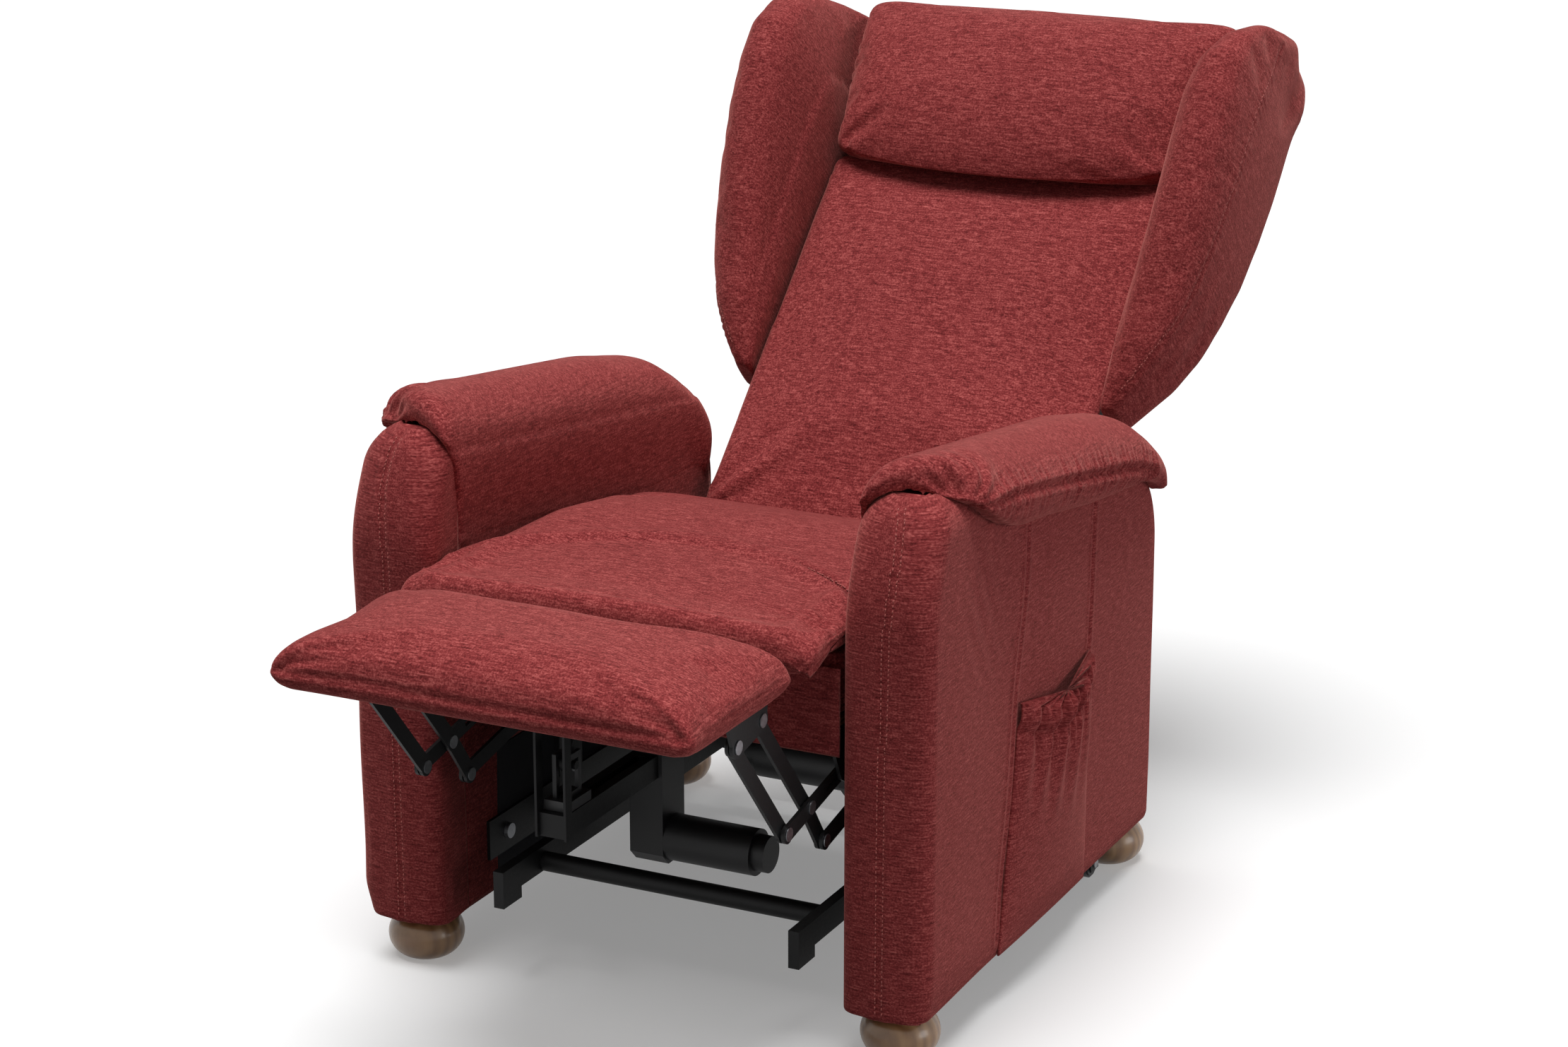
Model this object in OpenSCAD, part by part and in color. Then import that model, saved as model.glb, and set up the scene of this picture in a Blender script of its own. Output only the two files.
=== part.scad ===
// Powered wing recliner with a three-panel leg support, drawn reclined with its leg support out.
// Millimetres, +Z up, +Y to the rear, origin on the floor under the middle of the chair.
// Inside the modules, y is counted from the front plane of the arms.

/* [Arms] */
// Depth of an arm from front to rear
arm_depth = 680; // [660:1:710]
// Height of an arm's lower edge above the floor
arm_clear = 56; // [50:1:62]
// Thickness of an arm between its inner and outer faces
arm_t = 95; // [90:1:105]
// Height of the arm's wooden frame at the front
arm_frame_h = 600; // [580:1:620]
// Fall of the arm's top toward the rear, in degrees
arm_fall = 7.3; // [5:0.1:9]
// Thickness of the boards that make an arm's frame
board_t = 16; // [12:1:19]
// Thickness of the padded front of an arm
arm_front_t = 13; // [10:1:18]
// How far an arm's front leans back at its top
front_back = 40; // [30:1:46]
// Height of the leaning part of an arm's front
front_rise = 134; // [110:1:150]
// Thickness of the padded outer side of an arm
side_pad_t = 9; // [6:1:12]
// Thickness of the padded inner side of an arm
inner_pad_t = 4; // [3:0.5:6]
// Width of an arm pad
pad_w = 130; // [120:1:136]
// Height of an arm pad at its front
pad_h = 78; // [70:1:84]
// How far an arm pad hangs over the front of the arm
pad_nose = 4; // [0:1:10]
// Radius of an arm pad's drop at its rear end
pad_drop_r = 150; // [120:1:170]

/* [Feet and rollers] */
// Largest radius of a bun foot
foot_r = 44; // [38:1:46]
// Distance of the front feet's middle from the arm's front
foot_inset = 50; // [48:1:70]
// Distance of the rear feet's middle from the arm's rear
rear_foot_inset = 14; // [8:1:24]
// Radius of the bolt that holds a foot
foot_bolt_r = 4; // [3:0.5:5]
// Radius of a transport roller
roller_r = 19; // [16:1:20]
// Width of a transport roller
roller_w = 16; // [12:1:22]
// Distance from a rear foot's middle to its roller
roller_ahead = 72; // [70:1:90]

/* [Pocket] */
// Width of the side pocket
pocket_w = 204; // [160:1:220]
// Height of the pocket's elastic top edge at its front
pocket_top = 345; // [320:1:380]
// Height of the pocket's lower hem
pocket_foot = 72; // [66:1:90]
// Distance of the pocket's front edge from the arm's front
pocket_ahead = 252; // [230:1:270]
// Room inside the pocket at its top
pocket_room = 15; // [8:1:18]
// Thickness of the pocket's cloth
pocket_cloth = 2.5; // [2:0.5:3]
// Number of folds across the pocket
pocket_folds = 7; // [5:1:9]

/* [Seat] */
// Width of the seat cushion
seat_w = 494; // [470:1:498]
// Height of the seat cushion's crest
seat_h = 503; // [495:1:512]
// Gap between the seat cushion and each arm
seat_ease = 7; // [5:0.5:10]
// Thickness of the seat cushion above its wooden frame
seat_pad_t = 127; // [118:1:134]
// Height of the seat's wooden rails
seat_rail_h = 30; // [24:1:32]
// Thickness of the seat's wooden rails
seat_rail_t = 25; // [20:1:28]
// Depth of the seat's wooden frame
seat_depth = 560; // [540:1:575]
// Slope of the seat's frame toward the rear, in degrees
seat_rake = 4; // [3:0.5:5]
// Number of zigzag springs under the seat
spring_count = 5; // [4:1:6]
// Thickness of the spring wire
spring_t = 3.8; // [3:0.1:4.5]

/* [Leg support] */
// How much wider than the seat's body the middle flap is
flap_over = 2; // [0:0.5:4]
// Reach of the middle flap ahead of its hinge
flap_reach = 78; // [70:1:82]
// Thickness of the middle flap
flap_t = 52; // [46:1:56]
// How much narrower than the seat's body the footrest is
footrest_ease = 4; // [2:0.5:12]
// Depth of the footrest from rear to front
footrest_depth = 220; // [200:1:226]
// Thickness of the footrest with its board
footrest_t = 56; // [50:1:60]
// How far the footrest's underside lies below the seat's crest
footrest_drop = 51; // [45:1:54]
// Thickness of the boards in the leg support
leg_board_t = 12; // [9:1:15]

/* [Back] */
// Lean of the back from vertical, in degrees
back_lean = 46; // [44:0.5:48]
// Width of the back between the wings
back_w = 478; // [460:1:482]
// Gap between the back's cushion and each arm
back_ease = 15; // [13:0.5:20]
// Length of the back above the seat line
back_len = 684; // [670:1:690]
// Thickness of the back from its face to its rear cover
back_t = 105; // [100:1:115]
// Length of the back cushion that hangs below the seat line
back_tail = 104; // [90:1:110]
// Height of the head cushion's lower edge up the back
head_up = 431; // [410:1:450]
// Thickness of the head cushion at its crown
head_t = 62; // [52:1:72]
// Width of the head cushion at its top
head_w = 516; // [500:1:520]
// Reach of the wings in front of the back's face
wing_reach = 168; // [150:1:176]
// Width over the outer faces of the two wings
wing_span = 690; // [670:1:704]
// Radius of a wing's rounded front edge
wing_nose_r = 40; // [34:1:44]

/* [Steelwork] */
// Thickness of the flat links
link_t = 4; // [3:0.5:4.5]
// Width of the flat links
link_w = 19; // [16:0.5:20]
// Radius of the links' rivets
rivet_r = 5; // [4:0.5:6]
// Thickness of the steel side plates and seat plates
plate_t = 4; // [3:0.5:5]
// Radius of the drive tube
tube_r = 12.5; // [10:0.5:13]
// Gap between neighbouring steel layers
layer_gap = 2; // [1.8:0.1:2.4]
// Half the distance between the two base rails
base_half = 186; // [176:1:190]
// Height of the base rails
base_rail_h = 30; // [25:1:34]
// Height of the base rails' underside above the floor
base_z = 100; // [98:1:106]
// Radius of the base's cross tubes
cross_r = 11.5; // [10:0.5:13]

/* [Drives] */
// Length of the drives' rails
rail_len = 215; // [205:1:225]
// Width of the drives' rails
rail_w = 34; // [30:1:38]
// Radius of a drive motor
motor_r = 28; // [24:1:30]
// Length of a drive motor
motor_len = 112; // [100:1:120]
// Distance of the drives from the chair's middle
drive_side = 112; // [106:1:118]
// Radius of the motor leads
lead_r = 3; // [2.5:0.5:3.5]

/* [Hidden] */

// Finishes
cloth = [0.50, 0.24, 0.24];
cloth_dark = [0.40, 0.19, 0.19];
wood = [0.66, 0.48, 0.30];
board = [0.72, 0.60, 0.45];
steel = [0.12, 0.12, 0.13];
bright = [0.55, 0.56, 0.58];
plastic = [0.09, 0.09, 0.10];
lining = [0.22, 0.22, 0.23];

// Clearances
soft_gap = 0.5;
glue_gap = 0.2;
run_gap = 0.3;
fit_gap = 0.05;
eps = 0.01;

// Arms
arm_in = max(seat_w / 2 + seat_ease, back_w / 2 + back_ease);
arm_out = arm_in + arm_t;
frame_in = arm_in + inner_pad_t;
frame_out = arm_out - side_pad_t;
arm_mid = (arm_in + arm_out) / 2;
frame_z = arm_clear + 2;
frame_front = arm_front_t + soft_gap;
frame_rear = arm_depth - 8;
corner_r = pad_drop_r - 40;
pad_mid = arm_mid + 8;
pad_top = arm_frame_h + pad_h;
front_top = arm_frame_h + 34;
block_d = 80;
skirt_d = 96;
skirt_z = 230;

// Feet and rollers
rear_foot_y = arm_depth - rear_foot_inset;
foot_mid_z = 27;
foot_curve_r = 28;
roller_y = rear_foot_y - roller_ahead;
roller_z = roller_r + 2;
axle_r = 4;
cheek_t = 2;

// Seat
seat_y = 15;
seat_top_z = seat_h - seat_pad_t;
seat_base = seat_top_z - seat_rail_h;
seat_rear_y = seat_y + seat_depth + 20;
body_w = min(seat_w, back_w + 16);
seat_side_out = body_w / 2 - 19;
seat_side_in = seat_side_out - seat_rail_t;
cushion_gap = spring_t + 2 * soft_gap;
seam_y_side = 62;
seam_y_mid = 182;

// Leg support pivots, as [y, z]
footrest_h = seat_h - footrest_drop;
flap_w = body_w + flap_over;
footrest_w = body_w - footrest_ease;
drive_pivot = [110, seat_base - 26];
drive_reach = [-126, -25];
cross_pivot = drive_pivot + drive_reach;
low_drop = [36, -50.5];
low_pivot = drive_pivot + low_drop;
cross_low = cross_pivot + low_drop;
outer_reach = [-54.8, -10.9];
link_low = cross_pivot + outer_reach;
foot_pivot = [cross_pivot[0] - 114, footrest_h - 22];
foot_pivot_front = foot_pivot + outer_reach;
footrest_y = foot_pivot[0] + 30;
footrest_front = footrest_y - footrest_depth;
flap_hinge = [10, footrest_h - 3];
flap_z = flap_hinge[1] + 8;

// Steel layers, as distances from the middle of the chair to a layer's inner face
seat_plate_x = seat_side_out + run_gap;
bar_x = seat_plate_x - layer_gap - link_t;
link_x = bar_x - layer_gap - link_t;
side_plate_x = arm_in - plate_t - run_gap;
carrier_x = (seat_plate_x + plate_t + side_plate_x - link_t) / 2;
rivet_head_t = 1.2;
seat_pivot = [300, seat_base - 56];
carrier_low = [470, seat_base - 81];
carrier_high = [585, seat_base - 84];
pivot_r = 6;
post_w = 54;

// Back, measured along its length (up) and square to its face (in, to the rear)
back_y = arm_depth + 2;
back_z = seat_h - 23;
back_corner_r = 45;
back_pivot = [-65.4, 59.1];
post_in = 36;
post_out = 72;
cover_in = post_out + run_gap;
post_t = 24;
back_plate_x = seat_plate_x - layer_gap - link_t;
post_half = back_plate_x - run_gap - post_t;
lever_r = 104;
lever_turn = 11.5;

// Place of the back's hinge in the chair
back_hinge = [back_y + back_pivot[0] * sin(back_lean) + back_pivot[1] * cos(back_lean),
  back_z + back_pivot[0] * cos(back_lean) - back_pivot[1] * sin(back_lean)];
rear_reach = back_y + (back_len - back_corner_r) * sin(back_lean)
  + (back_t - back_corner_r) * cos(back_lean) + back_corner_r;
mid_y = (rear_reach + footrest_front) / 2;

// Base
base_front = 22;
base_rear = arm_depth - 40;
base_rail_t = 13;
cross_z = base_z + cross_r;
cross_front_y = 114;
cross_rear_y = 600;
panel_t = 16;
panel_top = seat_base - 84;

// Drives
crank_r = 80;
crank_pin = drive_pivot + crank_r * [-cos(45), -sin(45)];
crank_t = 6;
pin_r = 5;
rail_h = 28;
rail_z = seat_base - 160;
rail_front = 20;
drive_y = rail_front + rail_len;
yoke_t = 5;
housing_l = 54;
housing_w = 44;
motor_z = rail_z - 82;
back_drive_y = 336;
back_rail_z = seat_base - 106;
back_rail_len = 170;
back_motor_z = back_rail_z - 54;
back_pin = back_hinge + lever_r * [-sin(lever_turn), -cos(lever_turn)];

// The chair's own frame, from the arms' front plane to the middle of the chair's length
module placed() { translate([0, -mid_y, 0]) children(); }

module both() {
  children();
  mirror([1, 0, 0]) children();
}

// A flat shape drawn in the side view, standing at x with thickness t
module side_plate_at(x, t) {
  translate([x, 0, 0]) rotate([90, 0, 90]) linear_extrude(t) children();
}

// A round bar across the chair from x0 to x1 at a side-view point
module cross_bar(p, r, x0, x1) {
  translate([x0, p[0], p[1]]) rotate([0, 90, 0]) cylinder(h = x1 - x0, r = r, $fn = 40);
}

module box(x, y, z) {
  translate([x[0], y[0], z[0]]) cube([x[1] - x[0], y[1] - y[0], z[1] - z[0]]);
}

module at_back() {
  translate([0, back_y, back_z]) rotate([-back_lean, 0, 0]) children();
}

module at_seat() {
  translate([0, seat_y, seat_base]) rotate([-seat_rake, 0, 0]) children();
}

// Middle of a ring of points
function ring_mid(r) = [for (k = [0:2]) [for (p = r) p[k]] * [for (p = r) 1 / len(r)]];

// Closed surface through a stack of equal rings, each counter-clockwise from the stack's far end
// (a strip's ring runs up one face and back down the other)
module skin(rings, strip = false) {
  n = len(rings[0]);
  m = len(rings);
  points = concat([for (r = rings) each r], [ring_mid(rings[0]), ring_mid(rings[m - 1])]);
  sides = [for (i = [0:m - 2], j = [0:n - 1]) let (a = i * n + j, b = i * n + (j + 1) % n)
    each [[a, a + n, b + n], [a, b + n, b]]];
  fans = [for (j = [0:n - 1]) let (k = (j + 1) % n)
    each [[m * n, j, k], [m * n + 1, (m - 1) * n + k, (m - 1) * n + j]]];
  rungs = [for (j = [0:n / 2 - 2]) let (k = n - 1 - j, up = (m - 1) * n)
    each [[j, j + 1, k - 1], [j, k - 1, k],
      [up + j, up + k - 1, up + j + 1], [up + j, up + k, up + k - 1]]];
  polyhedron(strip ? [for (r = rings) each r] : points, concat(sides, strip ? rungs : fans), convexity = 4);
}

// Outline of a padded block seen from its end, centred
function padded(w, h, p, n) = [for (i = [0:n - 1])
  let (a = 360 * (i + 0.5) / n, c = cos(a) / cos(180 / n), s = sin(a) / cos(180 / n))
  [sign(c) * pow(abs(c), 2 / p) * w / 2, sign(s) * pow(abs(s), 2 / p) * h / 2]];

// Places across a cushion, closer together at its rounded ends
function stations(half, edge) = concat(
  [for (k = [0, 0.12, 0.4, 1]) -half + edge * k],
  [for (f = [-0.55, 0, 0.55]) f * (half - edge)],
  [for (k = [1, 0.4, 0.12, 0]) half - edge * k]);

// How far an outline draws in at x, near a rounded end
function drawn_in(x, half, edge) =
  let (e = max(0, abs(x) - half + edge) / edge) edge * (1 - sqrt(max(0, 1 - e * e)));

// Cushion: w across, l from front to rear, t high, crowned on top, its ends drawn in by draw
module pillow(w, l, t, edge, crown, draw, p, n = 20) {
  skin([for (x = stations(w / 2, edge)) let (d = drawn_in(x, w / 2, edge))
    [for (q = padded(l - 1.2 * d, t - 1.6 * d, p, n))
      let (across = 1 - pow(2 * x / w, 2), along = 1 - pow(2 * q[0] / l, 2))
      [x - sign(x) * draw * along * pow(2 * x / w, 4), q[0],
        t / 2 + q[1] + (q[1] > 0 ? crown * across * along : 0)]]]);
}

// Side outline of an arm, drawn in by e on all sides, its front leaning back toward the top
function arm_top(y) = arm_frame_h - y * tan(arm_fall);
function front_lean(z) = front_back * pow(max(0, z - front_top + front_rise) / front_rise, 2);
function arm_side(e, y0, y1, z0) =
  let (r = corner_r - e, cy = y1 - corner_r,
    cz = arm_top(cy) - corner_r / cos(arm_fall))
  concat([[y0 + e, z0 + e], [y1 - e, z0 + e]],
    [for (k = [0:8]) let (a = k * (90 - arm_fall) / 8) [cy + r * cos(a), cz + r * sin(a)]],
    let (y = y0 + e + front_lean(arm_frame_h - 5)) [[y, arm_top(y) - e / cos(arm_fall)]],
    [for (k = [0.5, 0.36, 0.22, 0.1, 0]) let (z = front_top - front_rise * (1 - k))
      [y0 + e + front_lean(z), z]]);

// Flat link with round eyes and rivet holes, in the side view
module link(a, b, w, holes) {
  d = b - a;
  difference() {
    union() {
      translate(a) rotate(atan2(d[1], d[0])) translate([0, -w / 2]) square([norm(d), w]);
      for (p = [a, b]) translate(p) circle(d = w + 2, $fn = 40);
    }
    for (p = holes) translate(p) circle(r = rivet_r + fit_gap, $fn = 40);
  }
}

// Rivet through two neighbouring layers, its heads proud of both
module rivet(p, x0, x1) {
  cross_bar(p, rivet_r, x0, x1);
  cross_bar(p, rivet_r + 2.5, x0 - rivet_head_t, x0);
  cross_bar(p, rivet_r + 2.5, x1, x1 + rivet_head_t);
}

// Zigzag wire of length l, as a flat outline centred on its run
function zigzag(l, amp, pitch, t) =
  let (n = round(l / pitch) * 12,
    mid = [for (i = [0:n]) [i * l / n, amp * sin(i * 30)]],
    dir = [for (i = [0:n]) let (v = mid[min(n, i + 1)] - mid[max(0, i - 1)]) v / norm(v)])
  concat([for (i = [0:n]) mid[i] + t / 2 * [dir[i][1], -dir[i][0]]],
    [for (i = [n:-1:0]) mid[i] - t / 2 * [dir[i][1], -dir[i][0]]]);

// Tube through hand-set points, one ring at each point square to the run
module swept(route, r, sides = 8) {
  n = len(route);
  skin([for (i = [0:n - 1])
    let (v = route[min(n - 1, i + 1)] - route[max(0, i - 1)], t = v / norm(v),
      side = abs(t[2]) > 0.9 ? [1, 0, 0] : [0, 0, 1],
      u0 = cross(side, t), u = u0 / norm(u0), w = cross(t, u))
    [for (k = [0:sides - 1]) route[i] + r * (cos(360 * k / sides) * u + sin(360 * k / sides) * w)]]);
}

// Wooden frame of an arm: two sides, a rim of boards between them and a block over each foot
module arm_frame() {
  x0 = frame_in + board_t + glue_gap;
  x1 = frame_out - board_t - glue_gap;
  turn_y = frame_rear - corner_r;
  turn_z = arm_top(turn_y) - corner_r / cos(arm_fall);
  bend_y = frame_front + board_t + front_lean(arm_frame_h);
  rim = [[frame_front, bend_y, 0, arm_frame_h],
    [bend_y + glue_gap, turn_y, turn_z, arm_frame_h],
    [turn_y + glue_gap, frame_rear, turn_z, arm_frame_h],
    [turn_y + glue_gap, frame_rear, 0, turn_z - glue_gap]];
  color(board) difference() {
    union() {
      for (x = [frame_in, frame_out - board_t])
        side_plate_at(x, board_t) polygon(arm_side(0, frame_front, frame_rear, frame_z));
      for (r = rim) side_plate_at(x0, x1 - x0) intersection() {
        difference() {
          polygon(arm_side(0, frame_front, frame_rear, frame_z));
          polygon(arm_side(board_t, frame_front, frame_rear, frame_z - 2 * board_t));
        }
        translate([r[0], r[2]]) square([r[1] - r[0], r[3] - r[2]]);
      }
      for (y = [frame_front + board_t + glue_gap, frame_rear - board_t - glue_gap - block_d])
        box([x0, x1], [y, y + block_d], [frame_z, frame_z + 40]);
    }
    for (y = [foot_inset, rear_foot_y])
      translate([arm_mid, y, frame_z - 1]) cylinder(h = 34, r = foot_bolt_r + fit_gap, $fn = 32);
    mount_holes();
  }
}
module arm_frame_left() { placed() mirror([1, 0, 0]) arm_frame(); }
module arm_frame_right() { placed() arm_frame(); }

// Outline of an arm's padded front: straight sides below an arched top
function front_outline(e) =
  let (x0 = arm_in + e, x1 = arm_out - e, r = arm_t / 2 - e, cz = front_top - arm_t / 2)
  concat([[x1, arm_clear + e], [x1, arm_clear + 180]],
    [for (k = [4:-1:1]) [x1, cz - 26 * k]],
    [for (k = [0:9]) [arm_mid + r * cos(k * 20), cz + r * sin(k * 20)]],
    [for (k = [1:4]) [x0, cz - 26 * k]],
    [[x0, arm_clear + 180], [x0, arm_clear + e]]);

module arm_front() {
  color(cloth) skin([for (s = [[1, 0], [0.45, 0], [0.15, 1.6], [0, 5]])
    [for (q = front_outline(s[1])) [q[0], arm_front_t * s[0] + front_lean(q[1]), q[1]]]], true);
}
module arm_front_left() { placed() mirror([1, 0, 0]) arm_front(); }
module arm_front_right() { placed() arm_front(); }

// Under and upper lines of an arm pad, from its nose (k = 0) to its dropped rear end (k = 1)
pad_straight = frame_rear - pad_drop_r;
pad_front = front_lean(front_top) - pad_nose;
pad_step_k = 0.64 * (frame_front + pad_nose) / (pad_straight - pad_front);
pad_steps = [0, 0.012, pad_step_k - 0.0003, pad_step_k + 0.001, 0.09, 0.14, 0.24, 0.34, 0.44, 0.54,
  0.64, 0.685, 0.73, 0.775, 0.82, 0.865, 0.91, 0.955, 1];
function pad_arc(k) = (90 - arm_fall) * (1 - (k - 0.64) / 0.36) + 34 * (k - 0.64) / 0.36;
function pad_y(k) = pad_front + k / 0.64 * (pad_straight - pad_front);
function pad_under(k) = k < 0.64
  ? [pad_y(k), (k < pad_step_k ? front_top : arm_top(pad_y(k))) + soft_gap]
  : let (a = pad_arc(k), cy = frame_rear - corner_r, r = (corner_r + soft_gap) / cos(5.7),
      cz = arm_top(cy) - corner_r / cos(arm_fall))
    [cy + r * cos(a), cz + r * sin(a)];
function pad_over(k) = k < 0.64
  ? [pad_y(k), pad_top - pad_y(k) * tan(arm_fall)]
  : let (a = pad_arc(k), cy = arm_depth + 8 - pad_drop_r, r = pad_drop_r,
      cz = pad_top - cy * tan(arm_fall) - r / cos(arm_fall))
    [cy + r * cos(a), cz + r * sin(a)];

module arm_pad() {
  color(cloth) skin([for (i = [len(pad_steps) - 1:-1:0])
    let (k = pad_steps[i], a = pad_under(k), b = pad_over(k), up = (b - a) / norm(b - a),
      e = 22 * pow(max(0, 1 - k / 0.09), 2) + 10 * pow(max(0, (k - 0.94) / 0.06), 2),
      h = norm(b - a) - 1.3 * e, mid = (a + b) / 2)
    [for (i = [0:19]) let (q = padded(pad_w - 1.4 * e, h, i < 10 ? 2.3 : 3.2, 20)[i])
      [pad_mid + q[0], mid[0] + q[1] * up[0], mid[1] + q[1] * up[1]]]]);
}
module arm_pad_left() { placed() mirror([1, 0, 0]) arm_pad(); }
module arm_pad_right() { placed() arm_pad(); }

// Padded outer side, below the arm pad, its long edges eased
side_turn_z = arm_top(frame_rear - corner_r) - corner_r / cos(arm_fall);
function side_outline(e) = let (s = arm_side(e, frame_front, frame_rear, arm_clear), n = len(s))
  concat([s[0], [arm_depth - e, arm_clear + e], [arm_depth - e, side_turn_z - 2]],
    [for (i = [2:n - 1]) s[i]]);
module side_panel() {
  color(cloth) skin([for (s = [[0, 0], [0.55, 0], [0.85, 1.5], [1, 4]])
    [for (q = side_outline(s[1]))
      [frame_out + soft_gap + (side_pad_t - soft_gap) * s[0], q[0], q[1]]]]);
}
module side_panel_left() { placed() mirror([1, 0, 0]) side_panel(); }
module side_panel_right() { placed() side_panel(); }

module inner_panel() {
  color(cloth_dark) difference() {
    side_plate_at(arm_in, inner_pad_t - soft_gap / 2)
      polygon(arm_side(0, frame_front, frame_rear, arm_clear));
    box([arm_in - 1, frame_in], [skirt_d, frame_rear + 1], [arm_clear - 1, skirt_z]);
  }
}
module inner_panel_left() { placed() mirror([1, 0, 0]) inner_panel(); }
module inner_panel_right() { placed() inner_panel(); }

module lining_boards() {
  color(lining) placed() both() difference() {
    box([arm_in + 0.5, frame_in - soft_gap / 2], [skirt_d + 1, frame_rear], [frame_z, skirt_z - 1]);
    mount_holes();
  }
}

// Gathered pocket: a folded sheet, sewn flat along its sides and its foot
pocket_x = arm_out + soft_gap;
function pocket_fold(u) = 0.5 - 0.5 * cos(360 * pocket_folds * u);
function pocket_edge(u) = max(0, sin(180 * u));
function pocket_out(u, v) =
  pocket_edge(u) == 0 ? 0 : min(1, 4 * v)
    * (pocket_room * pow(pocket_edge(u), 0.6) * (0.35 + 0.65 * v) + 3.5 * pocket_fold(u) * pocket_edge(u));
function pocket_sheet(v, inset) =
  [for (j = [0:42]) let (u = j / 42)
    [pocket_x + pocket_out(u, v) + (inset ? 0 : pocket_cloth), pocket_ahead + pocket_w * u,
      pocket_foot + (pocket_top - pocket_foot - 12 * pocket_edge(u)) * v]];
module pocket() {
  color(cloth) placed() skin([for (v = [0, 0.08, 0.5, 0.93, 1])
    let (a = pocket_sheet(v, false), b = pocket_sheet(v, true))
    concat(a, [for (j = [42:-1:0]) b[j]])], strip = true);
}

module bun_feet() {
  color(wood) placed() both() for (y = [foot_inset, rear_foot_y])
    translate([arm_mid, y, 0]) difference() {
      rotate_extrude($fn = 64) intersection() {
        union() {
          square([foot_r - foot_curve_r, frame_z]);
          square([foot_r / 2, frame_z]);
          translate([foot_r - foot_curve_r, foot_mid_z]) circle(r = foot_curve_r, $fn = 64);
        }
        square([foot_r + 1, frame_z]);
      }
      translate([0, 0, foot_mid_z]) cylinder(h = frame_z, r = foot_bolt_r + fit_gap, $fn = 32);
    }
}

module foot_bolts() {
  color(bright) placed() both() for (y = [foot_inset, rear_foot_y])
    translate([arm_mid, y, foot_mid_z + run_gap])
      cylinder(h = frame_z + 32 - foot_mid_z, r = foot_bolt_r, $fn = 32);
}

module rear_rail() {
  color(lining) placed()
    box([-arm_in + glue_gap, arm_in - glue_gap], [base_rear + 8, base_rear + 8 + panel_t],
      [frame_z + 4, panel_top]);
}

// Base frame that carries the seat's steelwork
module base_rails() {
  out = base_half + base_rail_t / 2;
  color(steel) placed() both() {
    box([base_half - base_rail_t / 2, out], [base_front, base_rear], [base_z, base_z + base_rail_h]);
    box([base_half - base_rail_t / 2, out], [base_front, base_front + 40], [base_z - 14, base_z + eps]);
    for (y = [seat_pivot[0] - post_w / 2, cross_rear_y - post_w])
      box([out - eps, side_plate_x - glue_gap], [y, y + post_w], [base_z, base_z + 5]);
  }
}

module cross_tubes() {
  x = base_half - base_rail_t / 2 - glue_gap;
  color(steel) placed() for (y = [cross_front_y, cross_rear_y]) difference() {
    cross_bar([y, cross_z], cross_r, -x, x);
    cross_bar([y, cross_z], cross_r - 1.5, -x - 1, x + 1);
  }
}

// Side plates, bolted to the arms, that carry the seat
mount_points = [[150, base_z + 24], [seat_pivot[0], base_z + 56], [560, base_z + 24]];
mount_r = 4;
module side_plates() {
  foot_h = 48;
  color(steel) placed() both() side_plate_at(side_plate_x, plate_t) difference() {
    union() {
      translate([skirt_d + 14, base_z]) square([cross_rear_y - skirt_d, foot_h]);
      translate([seat_pivot[0] - post_w / 2, base_z]) square([post_w, seat_pivot[1] - base_z]);
      translate(seat_pivot) circle(d = post_w, $fn = 48);
      translate([carrier_low[0] - 20, base_z]) square([40, carrier_low[1] - base_z]);
      translate(carrier_low) circle(r = 20, $fn = 48);
    }
    translate(seat_pivot) circle(r = pivot_r + fit_gap, $fn = 40);
    translate(carrier_low) circle(r = rivet_r + fit_gap, $fn = 40);
    for (p = mount_points) translate(p) circle(r = mount_r + fit_gap, $fn = 32);
    translate([seat_pivot[0] - 12, base_z + 92]) square([24, seat_pivot[1] - base_z - 128]);
  }
}

module mount_holes() {
  for (p = mount_points)
    cross_bar(p, mount_r + fit_gap, arm_in - 1, frame_in + board_t + 1);
}

// Round-headed bolts that hold the side plates, and the seat's pivot bolts
module mounting_bolts() {
  color(bright) placed() both() {
    for (p = mount_points) {
      cross_bar(p, mount_r, side_plate_x - 1, frame_in + board_t - 1);
      cross_bar(p, 9, side_plate_x - glue_gap - 5, side_plate_x - glue_gap);
    }
    cross_bar(seat_pivot, pivot_r, seat_plate_x - 1, arm_in - glue_gap);
    cross_bar(seat_pivot, 11, seat_plate_x - run_gap - 5, seat_plate_x - run_gap);
    cross_bar(carrier_low, rivet_r, carrier_x - 1, arm_in - glue_gap);
    cross_bar(carrier_low, rivet_r + 3, carrier_x - run_gap - 2, carrier_x - run_gap);
  }
}

module roller_brackets() {
  half = roller_w / 2 + 1;
  color(steel) placed() both() difference() {
    union() {
      box([arm_mid - half - cheek_t, arm_mid + half + cheek_t], [roller_y - 16, roller_y + 16],
        [frame_z - cheek_t, frame_z]);
      for (x = [arm_mid - half - cheek_t, arm_mid + half])
        box([x, x + cheek_t], [roller_y - 12, roller_y + 12], [roller_z - 9, frame_z]);
    }
    cross_bar([roller_y, roller_z], axle_r + fit_gap, arm_mid - 30, arm_mid + 30);
  }
}

module roller_axles() {
  half = roller_w / 2 + 1 + cheek_t + glue_gap;
  color(bright) placed() both() {
    cross_bar([roller_y, roller_z], axle_r, arm_mid - half - 0.5, arm_mid + half + 0.5);
    for (x = [arm_mid - half - 2, arm_mid + half])
      cross_bar([roller_y, roller_z], axle_r + 2, x, x + 2);
  }
}

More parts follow.
